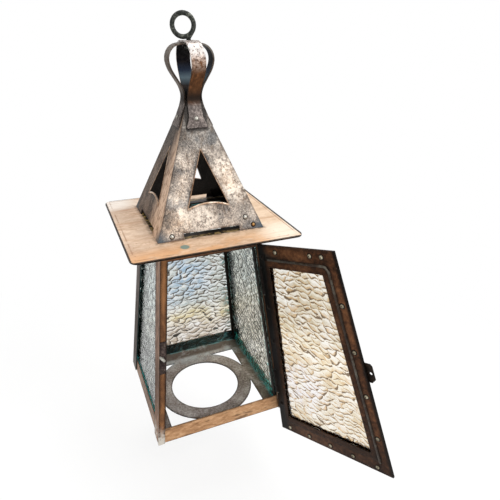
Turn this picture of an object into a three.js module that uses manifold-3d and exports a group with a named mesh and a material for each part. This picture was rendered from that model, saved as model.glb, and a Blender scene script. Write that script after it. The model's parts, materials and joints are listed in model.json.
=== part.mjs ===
// A hanging copper lantern: a tapered square body with textured glass panes and an open front door,
// a flat overhanging roof, a pierced vent pyramid, a bulb of crossed straps and a swivelling ring eye.
// Millimetres, +Z up, -Y towards the front. The origin lies on the lantern's axis, level with the top
// of the eye's hole, where a hook carries it. The door is drawn closed and then swung open.

import * as THREE from 'three';
import { mergeVertices } from 'three/addons/utils/BufferGeometryUtils.js';
import ManifoldModule from 'manifold-3d';

const wasm = await ManifoldModule();
wasm.setup();

// Sheet metal and clearances
const SHEET = 1.2;
const GAP = 0.3;

// Body, with heights measured up from the underside of the base
const BASE_SIDE = 150;
const BODY_TOP_SIDE = 100.6;
const BODY_HEIGHT = 223.5;
const FRONT_FLANGE = 7;
const SIDE_FLANGE = 19;
const BACK_FLANGE = 9;
const BASE_RAIL_HEIGHT = 17.2;
const TOP_RAIL_HEIGHT = 20;
const RAIL_LIP = 8;
const LIP_CORNER_GAP = 1;

// Lamp plate in the base, with a ring that holds the lamp and open corners
const PLATE_THICKNESS = 1.2;
const RING_HOLE_RADIUS = 40.7;
const RING_OUTER_RADIUS = 57.5;
const RING_FORWARD = 5;
const RING_INTO_BORDER = 1.8;
const RING_INTO_BACK = 5.8;
const RING_SIDES = 48;
const WINDOW_ARC_STEPS = 8;

// Glass and the beads that hold it
const GLASS_THICKNESS = 4;
const PANE_TOP_GAP = 1.5;
const BEAD_LEG = 3;
const BEAD_THICKNESS = 1;

// Roof
const ROOF_SIDE = 166;
const ROOF_HOLE_SIDE = 80;
const ROOF_FALL = 1;
const ROOF_FLAT_MARGIN = 1.2;
const ROOF_CORNER_RADIUS = 7.5;
const ROOF_HEM_DEPTH = 1.8;
const CORNER_STEPS = 5;

// Vent pyramid
const PYRAMID_BASE_SIDE = 105.8;
const PYRAMID_TOP_SIDE = 13.2;
const PYRAMID_HEIGHT = 116.8;
const PYRAMID_WALL = 1.4;
const VENT_WIDTH = 41.5;
const VENT_SILL = 24.5;
const VENT_HEIGHT = 51;
const VENT_SILL_RISE = 4;
const VENT_STEPS = 8;
const FOOT_SLOT_WIDTH = 56;
const FOOT_SLOT_HEIGHT = 5;
const CLEAT_LEG = 16;
const CLEAT_HEIGHT = 10;

// Crossed straps, placed from the top of the pyramid
const STRAP_THICKNESS = 1.5;
const STRAP_WIDTH = 13.4;
const STRAP_NECK_WIDTH = 12.4;
const STRAP_TAIL_WIDTH = 20.4;
const STRAP_LEAN = 2.6;
const TAIL_DROP = 22.9;
const LEAVE_DROP = 4.3;
const NECK_RISE = 4;
const NECK_MARGIN = 2;
const BULB_RISE = 31.9;
const BULB_HALF = 21.8;
const CROWN_RISE = 15.3;
const CROWN_FLAT_HALF = 9;
const STRAP_STEPS = 34;
const TAIL_POINTS = 3;
const SWELL_POINTS = 4;
const SHOULDER_POINTS = 3;
const TAIL_RIVET_RISE = 7.7;
const RIVET_SHANK_RADIUS = 1;
const RIVET_HEAD_RADIUS = 2.2;
const RIVET_HEAD_HEIGHT = 1.2;
const RIVET_CROWN_RADIUS = 1.6;
const RIVET_CROWN_HEIGHT = 0.8;
const RIVET_SIDES = 12;

// Ring eye on its swivelling shank
const EYE_RADIUS = 9.5;
const EYE_ROD_RADIUS = 2.1;
const EYE_OFFSET = 4.4;
const EYE_LIFT = 0.8;
const EYE_LINK_ANGLE = -40;
const EYE_TURN = -11;
const EYE_HEAD_RADIUS = 3.8;
const EYE_HEAD_HEIGHT = 2;
const WASHER_RADIUS = 6;
const EYE_STEPS = 28;
const ROD_SIDES = 10;

// Door, drawn closed against the front
const DOOR_OPEN_ANGLE = 113;
const DOOR_BOTTOM = -25;
const DOOR_TOP_DROP = 14.9;
const DOOR_FREE_INSET = 5;
const DOOR_STANDOFF = 1.8;
const DOOR_STILE = 19;
const DOOR_HINGE_STILE = 13.5;
const DOOR_TOP_RAIL = 24;
const DOOR_BOTTOM_RAIL = 21;
const DOOR_BAND_STILE = 10.5;
const DOOR_BAND_HINGE = 8;
const DOOR_BAND_TOP = 16;
const DOOR_BAND_BOTTOM = 14.5;
const RETAINER_SHEET = 1;
const RETAINER_JOGGLE = 0.7;
const GLASS_MARGIN = 1;

// Two butt hinges on the right of the front
const HINGE_INSET = 5.8;
const HINGE_STANDOFF = 3.4;
const HINGE_LENGTH = 30;
const HINGE_TOP_DROP = 40.6;
const HINGE_FOOT_RISE = 67;
const KNUCKLE_RADIUS = 2.4;
const PIN_RADIUS = 1;
const PIN_HEAD_RADIUS = 1.8;
const PIN_HEAD_HEIGHT = 1.2;
const KNUCKLE_CLEARANCE = 0.6;
const KNUCKLE_SIDES = 16;
const HINGE_LEAF = 1;
const HINGE_WRAP = 14;
const HINGE_LEAF_GAP = 0.6;

// Hasp on the door's free edge and the turn button that keeps it shut
const HASP_DROP = 5.5;
const HASP_HEIGHT = 20;
const HASP_REACH = 6.5;
const HASP_OVERLAP = 8.5;
const HASP_THICKNESS = 1.2;
const HASP_HOLE_RADIUS = 1.6;
const HASP_CHAMFER = 4;
const CATCH_DROP = 18.5;
const CATCH_HEIGHT = 36;
const CATCH_THICKNESS = 0.8;
const CATCH_MARGIN = 0.4;
const BUTTON_HEIGHT = 105;
const BUTTON_INSET = 3.3;
const BUTTON_REACH = 5.4;
const BUTTON_WIDTH = 2.6;
const BUTTON_THICKNESS = 1.2;
const BUTTON_STUD_RADIUS = 0.9;
const BUTTON_HEAD_RADIUS = 1.6;
const BUTTON_TURN = 35;
const BUTTON_SIDES = 12;

// Colours and finishes
const COPPER_ROOF = 0xc79a78;
const COPPER_BROWN = 0x7a5038;
const COPPER_PATINA = 0x9b8778;
const COPPER_DARK = 0x4d3628;
const RIVET_GREY = 0xa39c94;
const IRON_GREY = 0x3c403b;
const GLASS_TINT = 0xdde2da;
const ROUGH_WORN = 0.4;
const ROUGH_AGED = 0.5;
const ROUGH_CRUSTED = 0.6;
const ROUGH_IRON = 0.7;
const ROUGH_GLASS = 0.15;
const GLASS_OPACITY = 0.4;

// Derived sizes
const BASE_HALF = BASE_SIDE / 2;
const TAPER = (BASE_SIDE - BODY_TOP_SIDE) / 2 / BODY_HEIGHT;
const RAIL_INSET = SHEET + GAP;
const RAIL_INNER = RAIL_INSET + SHEET;
const RAIL_END = RAIL_INNER + GAP;
const PLATE_LEVEL = SHEET + GAP;
const PLATE_TOP = PLATE_LEVEL + PLATE_THICKNESS;
const PLATE_WINDOW_HALF = RING_OUTER_RADIUS - RING_INTO_BORDER;
const PLATE_WINDOW_BACK = RING_OUTER_RADIUS - RING_INTO_BACK;
const PANE_INSET = RAIL_INNER + GAP;
const PANE_INNER = PANE_INSET + GLASS_THICKNESS;
const PANE_BOTTOM = PLATE_TOP + GAP;
const PANE_TOP = BODY_HEIGHT - SHEET - PANE_TOP_GAP;
const BEAD_INSET = PANE_INNER + GAP;
const ROOF_HALF = ROOF_SIDE / 2;
const ROOF_UNDER = BODY_HEIGHT + GAP;
const ROOF_TOP = ROOF_UNDER + SHEET;
const PYRAMID_FOOT = ROOF_TOP + GAP;
const PYRAMID_SLOPE = (PYRAMID_BASE_SIDE - PYRAMID_TOP_SIDE) / 2 / PYRAMID_HEIGHT;
const PYRAMID_LEAN = Math.atan(PYRAMID_SLOPE);
const FRONT_LEAN = Math.atan(TAPER);
const TAIL_START = PYRAMID_HEIGHT - TAIL_DROP;
const TAIL_RIVET_HEIGHT = TAIL_START + TAIL_RIVET_RISE;
const FACE_LEAVE = PYRAMID_HEIGHT - LEAVE_DROP;
const NECK_HEIGHT = PYRAMID_HEIGHT + NECK_RISE;
const NECK_HALF = PYRAMID_TOP_SIDE / 2 + NECK_MARGIN;
const BULB_HEIGHT = NECK_HEIGHT + BULB_RISE;
const STRAP_TOP = BULB_HEIGHT + CROWN_RISE;
const CROSSING_DROP = STRAP_THICKNESS + GAP;
const STRAP_CROWN = PYRAMID_FOOT + STRAP_TOP;
const EYE_CENTRE = STRAP_CROWN + EYE_LIFT + EYE_RADIUS + EYE_ROD_RADIUS;
const HOOK_SEAT = EYE_CENTRE + EYE_RADIUS - EYE_ROD_RADIUS;
const DOOR_TOP = BODY_HEIGHT - DOOR_TOP_DROP;
const HINGE_UPPER = DOOR_TOP - HINGE_TOP_DROP;
const HINGE_LOWER = DOOR_BOTTOM + HINGE_FOOT_RISE;
const HINGE_DOOR_LEAF = DOOR_BAND_HINGE - HINGE_LEAF_GAP;
const HASP_TOP = BUTTON_HEIGHT - HASP_DROP;
const CATCH_BOTTOM = BUTTON_HEIGHT - CATCH_DROP;
const RETAINER_OUT = DOOR_STANDOFF + RETAINER_SHEET;
const DOOR_GLASS_OUT = RETAINER_OUT + GAP;
const DOOR_BAND_OUT = DOOR_GLASS_OUT + SHEET;
const DOOR_RAISED_OUT = DOOR_GLASS_OUT + GLASS_THICKNESS + GAP;
const HASP_OUT = DOOR_BAND_OUT + GAP;
const BUTTON_OUT = HASP_OUT + HASP_THICKNESS + GAP;

// Plain helpers

function halfAt(height) {
  return BASE_HALF - TAPER * height;
}

function pyramidHalfAt(rise) {
  return PYRAMID_BASE_SIDE / 2 - PYRAMID_SLOPE * rise;
}

function copper(color, roughness) {
  return new THREE.MeshStandardMaterial({ color, roughness, metalness: 1 });
}

function glassMaterial() {
  return new THREE.MeshStandardMaterial({
    color: GLASS_TINT, roughness: ROUGH_GLASS, metalness: 0, transparent: true, opacity: GLASS_OPACITY,
  });
}

function addPiece(parent, name, geometry, material) {
  const mesh = new THREE.Mesh(geometry, material);
  mesh.name = name;
  parent.add(mesh);
  return mesh;
}

// A closed geometry as a solid that can be joined and cut
function solid(geometry) {
  const plain = geometry.clone();
  plain.deleteAttribute('normal');
  plain.deleteAttribute('uv');
  const merged = mergeVertices(plain);
  return new wasm.Manifold(new wasm.Mesh({
    numProp: 3,
    vertProperties: new Float32Array(merged.attributes.position.array),
    triVerts: new Uint32Array(merged.index.array),
  }));
}

// A solid back as a geometry
function geometryOf(shape) {
  const mesh = shape.getMesh();
  const geometry = new THREE.BufferGeometry();
  geometry.setAttribute('position', new THREE.BufferAttribute(new Float32Array(mesh.vertProperties), 3));
  geometry.setIndex(new THREE.BufferAttribute(new Uint32Array(mesh.triVerts), 1));
  const faceted = geometry.toNonIndexed();
  faceted.computeVertexNormals();
  return faceted;
}

function join(first, ...others) {
  return geometryOf(others.reduce((sum, next) => sum.add(solid(next)), solid(first)));
}

function cut(first, ...cutters) {
  return geometryOf(cutters.reduce((rest, next) => rest.subtract(solid(next)), solid(first)));
}

function common(first, second) {
  return geometryOf(solid(first).intersect(solid(second)));
}

// Outline through plain points
function outline(points) {
  return new THREE.Shape(points.map(([x, y]) => new THREE.Vector2(x, y)));
}

function hole(points) {
  return new THREE.Path(points.map(([x, y]) => new THREE.Vector2(x, y)));
}

function prism(shape, depth, steps = 1) {
  return new THREE.ExtrudeGeometry(shape, { depth, bevelEnabled: false, curveSegments: steps });
}

// Four corners of a strip between two heights, whose sides are given as functions of the height
function quad(low, high, left, right) {
  return [[left(low), low], [right(low), low], [right(high), high], [left(high), high]];
}

// A sheet parallel to the front of the body. Its outline is drawn in X and Z. It lies between two
// distances in front of the body's front plane, and negative distances are inside.
function frontSheet(shape, near, far) {
  const geometry = prism(shape, far - near);
  geometry.rotateX(Math.PI / 2);
  geometry.translate(0, -BASE_HALF - near, 0);
  const lean = new THREE.Matrix4().set(
    1, 0, 0, 0,
    0, 1, TAPER, 0,
    0, 0, 1, 0,
    0, 0, 0, 1,
  );
  return geometry.applyMatrix4(lean);
}

// An upright bar drawn in plan at one height, that leans towards the axis from its corner
function leaningBar(shape, low, high, signX, signY, slope) {
  const geometry = prism(shape, high - low);
  const lean = new THREE.Matrix4().set(
    1, 0, -signX * slope, 0,
    0, 1, -signY * slope, 0,
    0, 0, 1, low,
    0, 0, 0, 1,
  );
  return geometry.applyMatrix4(lean);
}

// An angle section in plan, whose outer corner lies at the given reach from the axis on both sides
function anglePlan(signX, signY, reach, alongX, alongY, thickness) {
  return outline([
    [signX * reach, signY * reach],
    [signX * (reach - alongX), signY * reach],
    [signX * (reach - alongX), signY * (reach - thickness)],
    [signX * (reach - thickness), signY * (reach - thickness)],
    [signX * (reach - thickness), signY * (reach - alongY)],
    [signX * reach, signY * (reach - alongY)],
  ]);
}

// A square ring swept round the axis from a profile of half-widths and heights
function squareSweep(profile) {
  const points = profile.map(([half, height]) => new THREE.Vector2(half * Math.SQRT2, height));
  const geometry = new THREE.LatheGeometry(points, 4, Math.PI / 4);
  geometry.rotateX(Math.PI / 2);
  return geometry;
}

function roundedSquare(half, radius) {
  const straight = half - radius;
  const shape = new THREE.Shape();
  shape.absarc(straight, straight, radius, 0, Math.PI / 2);
  shape.absarc(-straight, straight, radius, Math.PI / 2, Math.PI);
  shape.absarc(-straight, -straight, radius, Math.PI, Math.PI * 1.5);
  shape.absarc(straight, -straight, radius, Math.PI * 1.5, Math.PI * 2);
  return shape;
}

function degrees(value) {
  return THREE.MathUtils.degToRad(value);
}

function cylinderAlongZ(radius, low, high, sides) {
  const geometry = new THREE.CylinderGeometry(radius, radius, high - low, sides);
  geometry.rotateX(Math.PI / 2);
  geometry.translate(0, 0, (low + high) / 2);
  return geometry;
}

// A solid of revolution round Z, from a profile of radii and heights
function revolve(profile, sides) {
  const geometry = new THREE.LatheGeometry(profile.map(([r, z]) => new THREE.Vector2(r, z)), sides);
  geometry.rotateX(Math.PI / 2);
  return geometry;
}

// Turned groups for the four sides: each is drawn as the front and turned about Z
const SIDE_TURNS = { front: 0, right: Math.PI / 2, back: Math.PI, left: -Math.PI / 2 };
const CORNERS = [
  { name: 'front_left', x: -1, y: -1 },
  { name: 'front_right', x: 1, y: -1 },
  { name: 'back_left', x: -1, y: 1 },
  { name: 'back_right', x: 1, y: 1 },
];

const lantern = new THREE.Group();
lantern.position.z = -HOOK_SEAT;

// Places of the turn button and of the hinge, which the pieces they pass through share

// The button's axis stands square to the front of the left front post
function buttonPlace() {
  const place = new THREE.Matrix4().makeRotationX(Math.PI / 2 - FRONT_LEAN);
  place.setPosition(-halfAt(BUTTON_HEIGHT) + BUTTON_INSET, -halfAt(BUTTON_HEIGHT), BUTTON_HEIGHT);
  return place;
}

function buttonHole() {
  const reach = SHEET + HASP_OUT;
  return cylinderAlongZ(BUTTON_STUD_RADIUS + GAP, -reach, reach, BUTTON_SIDES).applyMatrix4(buttonPlace());
}

// The hinge's axis runs up along the right front post, in front of its flange
const hingeFoot = new THREE.Vector3(BASE_HALF - HINGE_INSET, -BASE_HALF - HINGE_STANDOFF, 0);
const hingeAxis = new THREE.Vector3(-TAPER, TAPER, 1).normalize();
const hingeTurn = new THREE.Quaternion().setFromUnitVectors(new THREE.Vector3(0, 0, 1), hingeAxis);

function onHinge(geometry, height) {
  const foot = hingeFoot.clone().addScaledVector(hingeAxis, height / hingeAxis.z);
  return geometry.applyMatrix4(new THREE.Matrix4().compose(foot, hingeTurn, new THREE.Vector3(1, 1, 1)));
}

// Body: four angle posts, and eight rails that lap behind their flanges
for (const { name, x, y } of CORNERS) {
  const across = y < 0 ? FRONT_FLANGE : BACK_FLANGE;
  const plan = anglePlan(x, y, BASE_HALF, across, SIDE_FLANGE, SHEET);
  const bar = leaningBar(plan, 0, BODY_HEIGHT, x, y, TAPER);
  const post = name === 'front_left' ? cut(bar, buttonHole()) : bar;
  addPiece(lantern, `post_${name}`, post, copper(COPPER_BROWN, ROUGH_AGED));
}

function rail(low, high, lipLow) {
  const side = (height) => halfAt(height) - RAIL_END;
  const plate = frontSheet(outline(quad(low, high, (z) => -side(z), side)), -RAIL_INNER, -RAIL_INSET);
  const lipHalf = halfAt(lipLow) - RAIL_INSET - RAIL_LIP - LIP_CORNER_GAP;
  const lip = new THREE.BoxGeometry(2 * lipHalf, RAIL_LIP, SHEET);
  lip.translate(0, -halfAt(lipLow) + RAIL_INSET + SHEET / 2 + RAIL_LIP / 2, lipLow + SHEET / 2);
  return join(plate, lip);
}

for (const [side, turn] of Object.entries(SIDE_TURNS)) {
  const panel = new THREE.Group();
  panel.rotation.z = turn;
  lantern.add(panel);
  addPiece(panel, `base_rail_${side}`, rail(0, BASE_RAIL_HEIGHT, 0), copper(COPPER_BROWN, ROUGH_AGED));
  addPiece(
    panel, `top_rail_${side}`,
    rail(BODY_HEIGHT - TOP_RAIL_HEIGHT, BODY_HEIGHT, BODY_HEIGHT - SHEET),
    copper(COPPER_DARK, ROUGH_CRUSTED),
  );
}

// Lamp plate: a square border, wider at the back, and a ring, with an open window in each corner
const plateHalf = halfAt(PLATE_LEVEL) - RAIL_INNER - GAP;
const plate = new THREE.BoxGeometry(2 * plateHalf, 2 * plateHalf, PLATE_THICKNESS);
plate.translate(0, 0, PLATE_LEVEL + PLATE_THICKNESS / 2);
const ringHole = cylinderAlongZ(RING_HOLE_RADIUS, 0, PLATE_TOP + GAP, RING_SIDES);
ringHole.translate(0, -RING_FORWARD, 0);
const windowStart = Math.acos(PLATE_WINDOW_HALF / RING_OUTER_RADIUS);
const plateWindows = CORNERS.map(({ x, y }) => {
  const reach = y > 0 ? PLATE_WINDOW_BACK : PLATE_WINDOW_HALF;
  const windowEnd = Math.asin(reach / RING_OUTER_RADIUS);
  const points = [[x * PLATE_WINDOW_HALF, y * reach]];
  for (let step = 0; step <= WINDOW_ARC_STEPS; step += 1) {
    const angle = windowStart + (windowEnd - windowStart) * step / WINDOW_ARC_STEPS;
    points.push([x * RING_OUTER_RADIUS * Math.cos(angle), y * RING_OUTER_RADIUS * Math.sin(angle)]);
  }
  return prism(outline(points), PLATE_TOP + GAP).translate(0, -RING_FORWARD, 0);
});
const lampPlate = cut(plate, ringHole, ...plateWindows);
addPiece(lantern, 'lamp_ring_plate', lampPlate, copper(COPPER_PATINA, ROUGH_CRUSTED));

// Three fixed panes, and the beads that keep them against the rails
const sidePaneFront = PANE_INSET + GAP;
const sidePaneBack = PANE_INNER + GAP;
const panes = [
  { side: 'left', low: sidePaneBack, high: sidePaneFront },
  { side: 'right', low: sidePaneFront, high: sidePaneBack },
  { side: 'back', low: PANE_INSET + GAP, high: PANE_INSET + GAP },
];
for (const { side, low, high } of panes) {
  const panel = new THREE.Group();
  panel.rotation.z = SIDE_TURNS[side];
  lantern.add(panel);
  const corners = quad(PANE_BOTTOM, PANE_TOP, (z) => -halfAt(z) + low, (z) => halfAt(z) - high);
  addPiece(panel, `glass_${side}`, frontSheet(outline(corners), -PANE_INNER, -PANE_INSET), glassMaterial());
}
for (const { name, x, y } of CORNERS) {
  const reach = BASE_HALF - BEAD_INSET - TAPER * PANE_BOTTOM;
  const front = reach + BEAD_INSET - sidePaneFront;
  const plan = y > 0
    ? anglePlan(x, y, reach, BEAD_LEG, BEAD_LEG, BEAD_THICKNESS)
    : outline([
      [x * reach, -front],
      [x * (reach - BEAD_THICKNESS), -front],
      [x * (reach - BEAD_THICKNESS), -reach + BEAD_LEG],
      [x * reach, -reach + BEAD_LEG],
    ]);
  const bead = leaningBar(plan, PANE_BOTTOM, PANE_TOP, x, y, TAPER);
  addPiece(lantern, `glazing_bead_${name}`, bead, copper(COPPER_DARK, ROUGH_CRUSTED));
}

// Roof: a square sheet, level under the pyramid, that falls a little to a turned-down hem
const flatHalf = PYRAMID_BASE_SIDE / 2 + ROOF_FLAT_MARGIN;
const holeHalf = ROOF_HOLE_SIDE / 2;
const overhang = ROOF_HALF + ROOF_HEM_DEPTH;
const overhangFall = ROOF_FALL * (overhang - flatHalf) / (ROOF_HALF - flatHalf);
const roofSheet = squareSweep([
  [holeHalf, ROOF_UNDER],
  [flatHalf, ROOF_UNDER],
  [overhang, ROOF_UNDER - overhangFall],
  [overhang, ROOF_TOP - overhangFall],
  [flatHalf, ROOF_TOP],
  [holeHalf, ROOF_TOP],
  [holeHalf, ROOF_UNDER],
]);
const trim = prism(roundedSquare(ROOF_HALF, ROOF_CORNER_RADIUS), ROOF_TOP, CORNER_STEPS);
trim.translate(0, 0, SHEET);
const hemShape = roundedSquare(ROOF_HALF, ROOF_CORNER_RADIUS);
hemShape.holes.push(roundedSquare(ROOF_HALF - SHEET, ROOF_CORNER_RADIUS - SHEET));
const hem = prism(hemShape, ROOF_HEM_DEPTH - SHEET / 2, CORNER_STEPS);
hem.translate(0, 0, ROOF_TOP - ROOF_FALL - ROOF_HEM_DEPTH);
addPiece(lantern, 'roof_plate', join(common(roofSheet, trim), hem), copper(COPPER_ROOF, ROUGH_WORN));

// Vent pyramid: a square shell with a three-sided vent in each face and slots between its corner feet
function pyramidShell() {
  const foot = PYRAMID_BASE_SIDE / 2;
  const top = PYRAMID_TOP_SIDE / 2;
  return squareSweep([
    [foot - PYRAMID_WALL, PYRAMID_FOOT],
    [foot, PYRAMID_FOOT],
    [top, PYRAMID_FOOT + PYRAMID_HEIGHT],
    [top - PYRAMID_WALL, PYRAMID_FOOT + PYRAMID_HEIGHT],
    [foot - PYRAMID_WALL, PYRAMID_FOOT],
  ]);
}

// A cutter drawn in X and Z that runs from the axis out through one wall
function wallCutter(shape, turn) {
  const geometry = prism(shape, PYRAMID_BASE_SIDE / 2);
  geometry.rotateX(Math.PI / 2);
  geometry.translate(0, -PYRAMID_WALL, 0);
  geometry.rotateZ(turn);
  return geometry;
}

function ventShape() {
  const sill = PYRAMID_FOOT + VENT_SILL;
  const points = [[0, sill + VENT_HEIGHT]];
  for (let step = 0; step <= VENT_STEPS; step += 1) {
    const across = -1 + 2 * step / VENT_STEPS;
    points.push([across * VENT_WIDTH / 2, sill + VENT_SILL_RISE * (1 - across * across)]);
  }
  return outline(points);
}

function footSlotShape() {
  const top = PYRAMID_FOOT + FOOT_SLOT_HEIGHT;
  const half = FOOT_SLOT_WIDTH / 2;
  return outline([[-half, PYRAMID_FOOT - SHEET], [half, PYRAMID_FOOT - SHEET], [half, top], [-half, top]]);
}

// A rivet's axis, square to one face of the pyramid at the given rise
function facePlace(rise, turn) {
  const tilt = new THREE.Matrix4().makeRotationX(Math.PI / 2 - PYRAMID_LEAN);
  tilt.setPosition(0, -pyramidHalfAt(rise), PYRAMID_FOOT + rise);
  return new THREE.Matrix4().makeRotationZ(turn).multiply(tilt);
}

function rivetHole(turn) {
  const reach = PYRAMID_WALL + STRAP_THICKNESS + RIVET_HEAD_HEIGHT;
  const drill = cylinderAlongZ(RIVET_SHANK_RADIUS + GAP, -reach, reach, RIVET_SIDES);
  return drill.applyMatrix4(facePlace(TAIL_RIVET_HEIGHT, turn));
}

const sideTurns = Object.values(SIDE_TURNS);
const pyramid = cut(
  pyramidShell(),
  ...sideTurns.map((turn) => wallCutter(ventShape(), turn)),
  ...sideTurns.map((turn) => wallCutter(footSlotShape(), turn)),
  ...sideTurns.map(rivetHole),
);
addPiece(lantern, 'vent_pyramid', pyramid, copper(COPPER_PATINA, ROUGH_CRUSTED));

for (const { name, x, y } of CORNERS) {
  const reach = PYRAMID_BASE_SIDE / 2 - PYRAMID_WALL - GAP;
  const plan = anglePlan(x, y, reach, CLEAT_LEG, CLEAT_LEG, SHEET);
  const cleat = leaningBar(plan, PYRAMID_FOOT, PYRAMID_FOOT + CLEAT_HEIGHT, x, y, PYRAMID_SLOPE);
  addPiece(lantern, `pyramid_cleat_${name}`, cleat, copper(COPPER_DARK, ROUGH_CRUSTED));
}

// Straps: a band that lies on two opposite faces, draws in at the neck and swells into a bulb. One
// strap's crown passes under the other's.
function strapCentreLine(crownDrop) {
  const off = STRAP_THICKNESS / 2;
  const seat = (GAP + off) / Math.cos(PYRAMID_LEAN);
  const crown = STRAP_TOP - off - crownDrop;
  const bulb = BULB_HALF - off;
  const neck = NECK_HALF - off;
  const side = [];
  for (let step = 0; step <= TAIL_POINTS; step += 1) {
    const rise = TAIL_START + (FACE_LEAVE - TAIL_START) * step / TAIL_POINTS;
    side.push([pyramidHalfAt(rise) + seat, rise]);
  }
  for (let step = 0; step <= SWELL_POINTS; step += 1) {
    const share = step / SWELL_POINTS;
    const swell = (1 - Math.cos(Math.PI * share)) / 2;
    side.push([neck + (bulb - neck) * swell, NECK_HEIGHT + (BULB_HEIGHT - NECK_HEIGHT) * share]);
  }
  for (let step = 1; step <= SHOULDER_POINTS; step += 1) {
    const turn = Math.PI / 2 * step / SHOULDER_POINTS;
    side.push([
      CROWN_FLAT_HALF + (bulb - CROWN_FLAT_HALF) * Math.cos(turn),
      BULB_HEIGHT + (crown - BULB_HEIGHT) * Math.sin(turn),
    ]);
  }
  const front = side.map(([half, rise]) => [-half, rise]);
  const back = [...side].reverse();
  const points = [...front, [0, crown], ...back].map(([half, rise]) => new THREE.Vector3(half, rise, 0));
  return new THREE.CatmullRomCurve3(points, false, 'centripetal');
}

function strapProfile(crownDrop) {
  const line = strapCentreLine(crownDrop);
  const outer = [];
  const inner = [];
  for (let step = 0; step <= 2 * STRAP_STEPS; step += 1) {
    const at = step / (2 * STRAP_STEPS);
    const point = line.getPointAt(at);
    const along = line.getTangentAt(at);
    const off = STRAP_THICKNESS / 2;
    outer.push([point.x - along.y * off, PYRAMID_FOOT + point.y + along.x * off]);
    inner.push([point.x + along.y * off, PYRAMID_FOOT + point.y - along.x * off]);
  }
  return outline([...outer, ...inner.reverse()]);
}

// Face-on outline of a strap: wide over the bulb, narrow at the neck and flared at the tails
function strapFace() {
  const widths = [
    [STRAP_TAIL_WIDTH, TAIL_START - STRAP_THICKNESS],
    [STRAP_TAIL_WIDTH, TAIL_START + STRAP_THICKNESS],
    [STRAP_WIDTH, TAIL_RIVET_HEIGHT + STRAP_THICKNESS],
    [STRAP_NECK_WIDTH, NECK_HEIGHT],
    [STRAP_WIDTH, BULB_HEIGHT],
    [STRAP_WIDTH, STRAP_TOP + STRAP_THICKNESS],
  ];
  const right = widths.map(([width, rise]) => [width / 2, PYRAMID_FOOT + rise]);
  const left = widths.map(([width, rise]) => [-width / 2, PYRAMID_FOOT + rise]).reverse();
  return outline([...right, ...left]);
}

// Above the neck, the front half of a strap leans sideways
function leanFront(geometry, lean) {
  const places = geometry.attributes.position;
  for (let index = 0; index < places.count; index += 1) {
    const rise = places.getZ(index) - PYRAMID_FOOT - NECK_HEIGHT;
    const share = THREE.MathUtils.clamp(rise / (STRAP_TOP - NECK_HEIGHT), 0, 1);
    if (places.getY(index) < 0) {
      places.setX(index, places.getX(index) + lean * Math.sin(Math.PI * share));
    }
  }
  return geometry;
}

function strap(crownDrop, turn, lean) {
  const band = prism(strapProfile(crownDrop), STRAP_TAIL_WIDTH + SHEET);
  band.translate(0, 0, -(STRAP_TAIL_WIDTH + SHEET) / 2);
  band.rotateX(Math.PI / 2);
  band.rotateZ(Math.PI / 2);
  const face = prism(strapFace(), PYRAMID_BASE_SIDE);
  face.translate(0, 0, -PYRAMID_BASE_SIDE / 2);
  face.rotateX(Math.PI / 2);
  const shaped = leanFront(common(band, face), lean).rotateZ(turn);
  const shankHole = cylinderAlongZ(
    EYE_ROD_RADIUS + GAP, PYRAMID_FOOT + BULB_HEIGHT, STRAP_CROWN + EYE_LIFT, ROD_SIDES,
  );
  return cut(shaped, shankHole, rivetHole(turn), rivetHole(turn + Math.PI));
}

addPiece(lantern, 'strap_front_back', strap(0, 0, STRAP_LEAN), copper(COPPER_BROWN, ROUGH_WORN));
addPiece(lantern, 'strap_left_right', strap(CROSSING_DROP, Math.PI / 2, 0), copper(COPPER_BROWN, ROUGH_WORN));

// Rivets through the strap tails: domed outside, set flat inside the pyramid
function tailRivet(turn) {
  const outside = 2 * GAP + STRAP_THICKNESS;
  const inside = -PYRAMID_WALL - GAP;
  const profile = [
    [0, inside - RIVET_HEAD_HEIGHT],
    [RIVET_HEAD_RADIUS, inside - RIVET_HEAD_HEIGHT],
    [RIVET_HEAD_RADIUS, inside],
    [RIVET_SHANK_RADIUS, inside],
    [RIVET_SHANK_RADIUS, outside],
    [RIVET_HEAD_RADIUS, outside],
    [RIVET_CROWN_RADIUS, outside + RIVET_CROWN_HEIGHT],
    [0, outside + RIVET_HEAD_HEIGHT],
  ];
  return revolve(profile, RIVET_SIDES).applyMatrix4(facePlace(TAIL_RIVET_HEIGHT, turn));
}

for (const [side, turn] of Object.entries(SIDE_TURNS)) {
  addPiece(lantern, `strap_rivet_${side}`, tailRivet(turn), copper(RIVET_GREY, ROUGH_WORN));
}

// Ring eye: a closed ring to the left of a straight shank, with its end spread under a washer
const crossingUnder = STRAP_CROWN - CROSSING_DROP - STRAP_THICKNESS;
const washerTop = crossingUnder - GAP;
const washerShape = new THREE.Shape();
washerShape.absarc(0, 0, WASHER_RADIUS, 0, Math.PI * 2);
const washerHole = new THREE.Path();
washerHole.absarc(0, 0, EYE_ROD_RADIUS + GAP, 0, Math.PI * 2);
washerShape.holes.push(washerHole);
const washer = prism(washerShape, SHEET, ROD_SIDES);
washer.translate(0, 0, washerTop - SHEET);
addPiece(lantern, 'eye_washer', washer, copper(COPPER_DARK, ROUGH_AGED));

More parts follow.
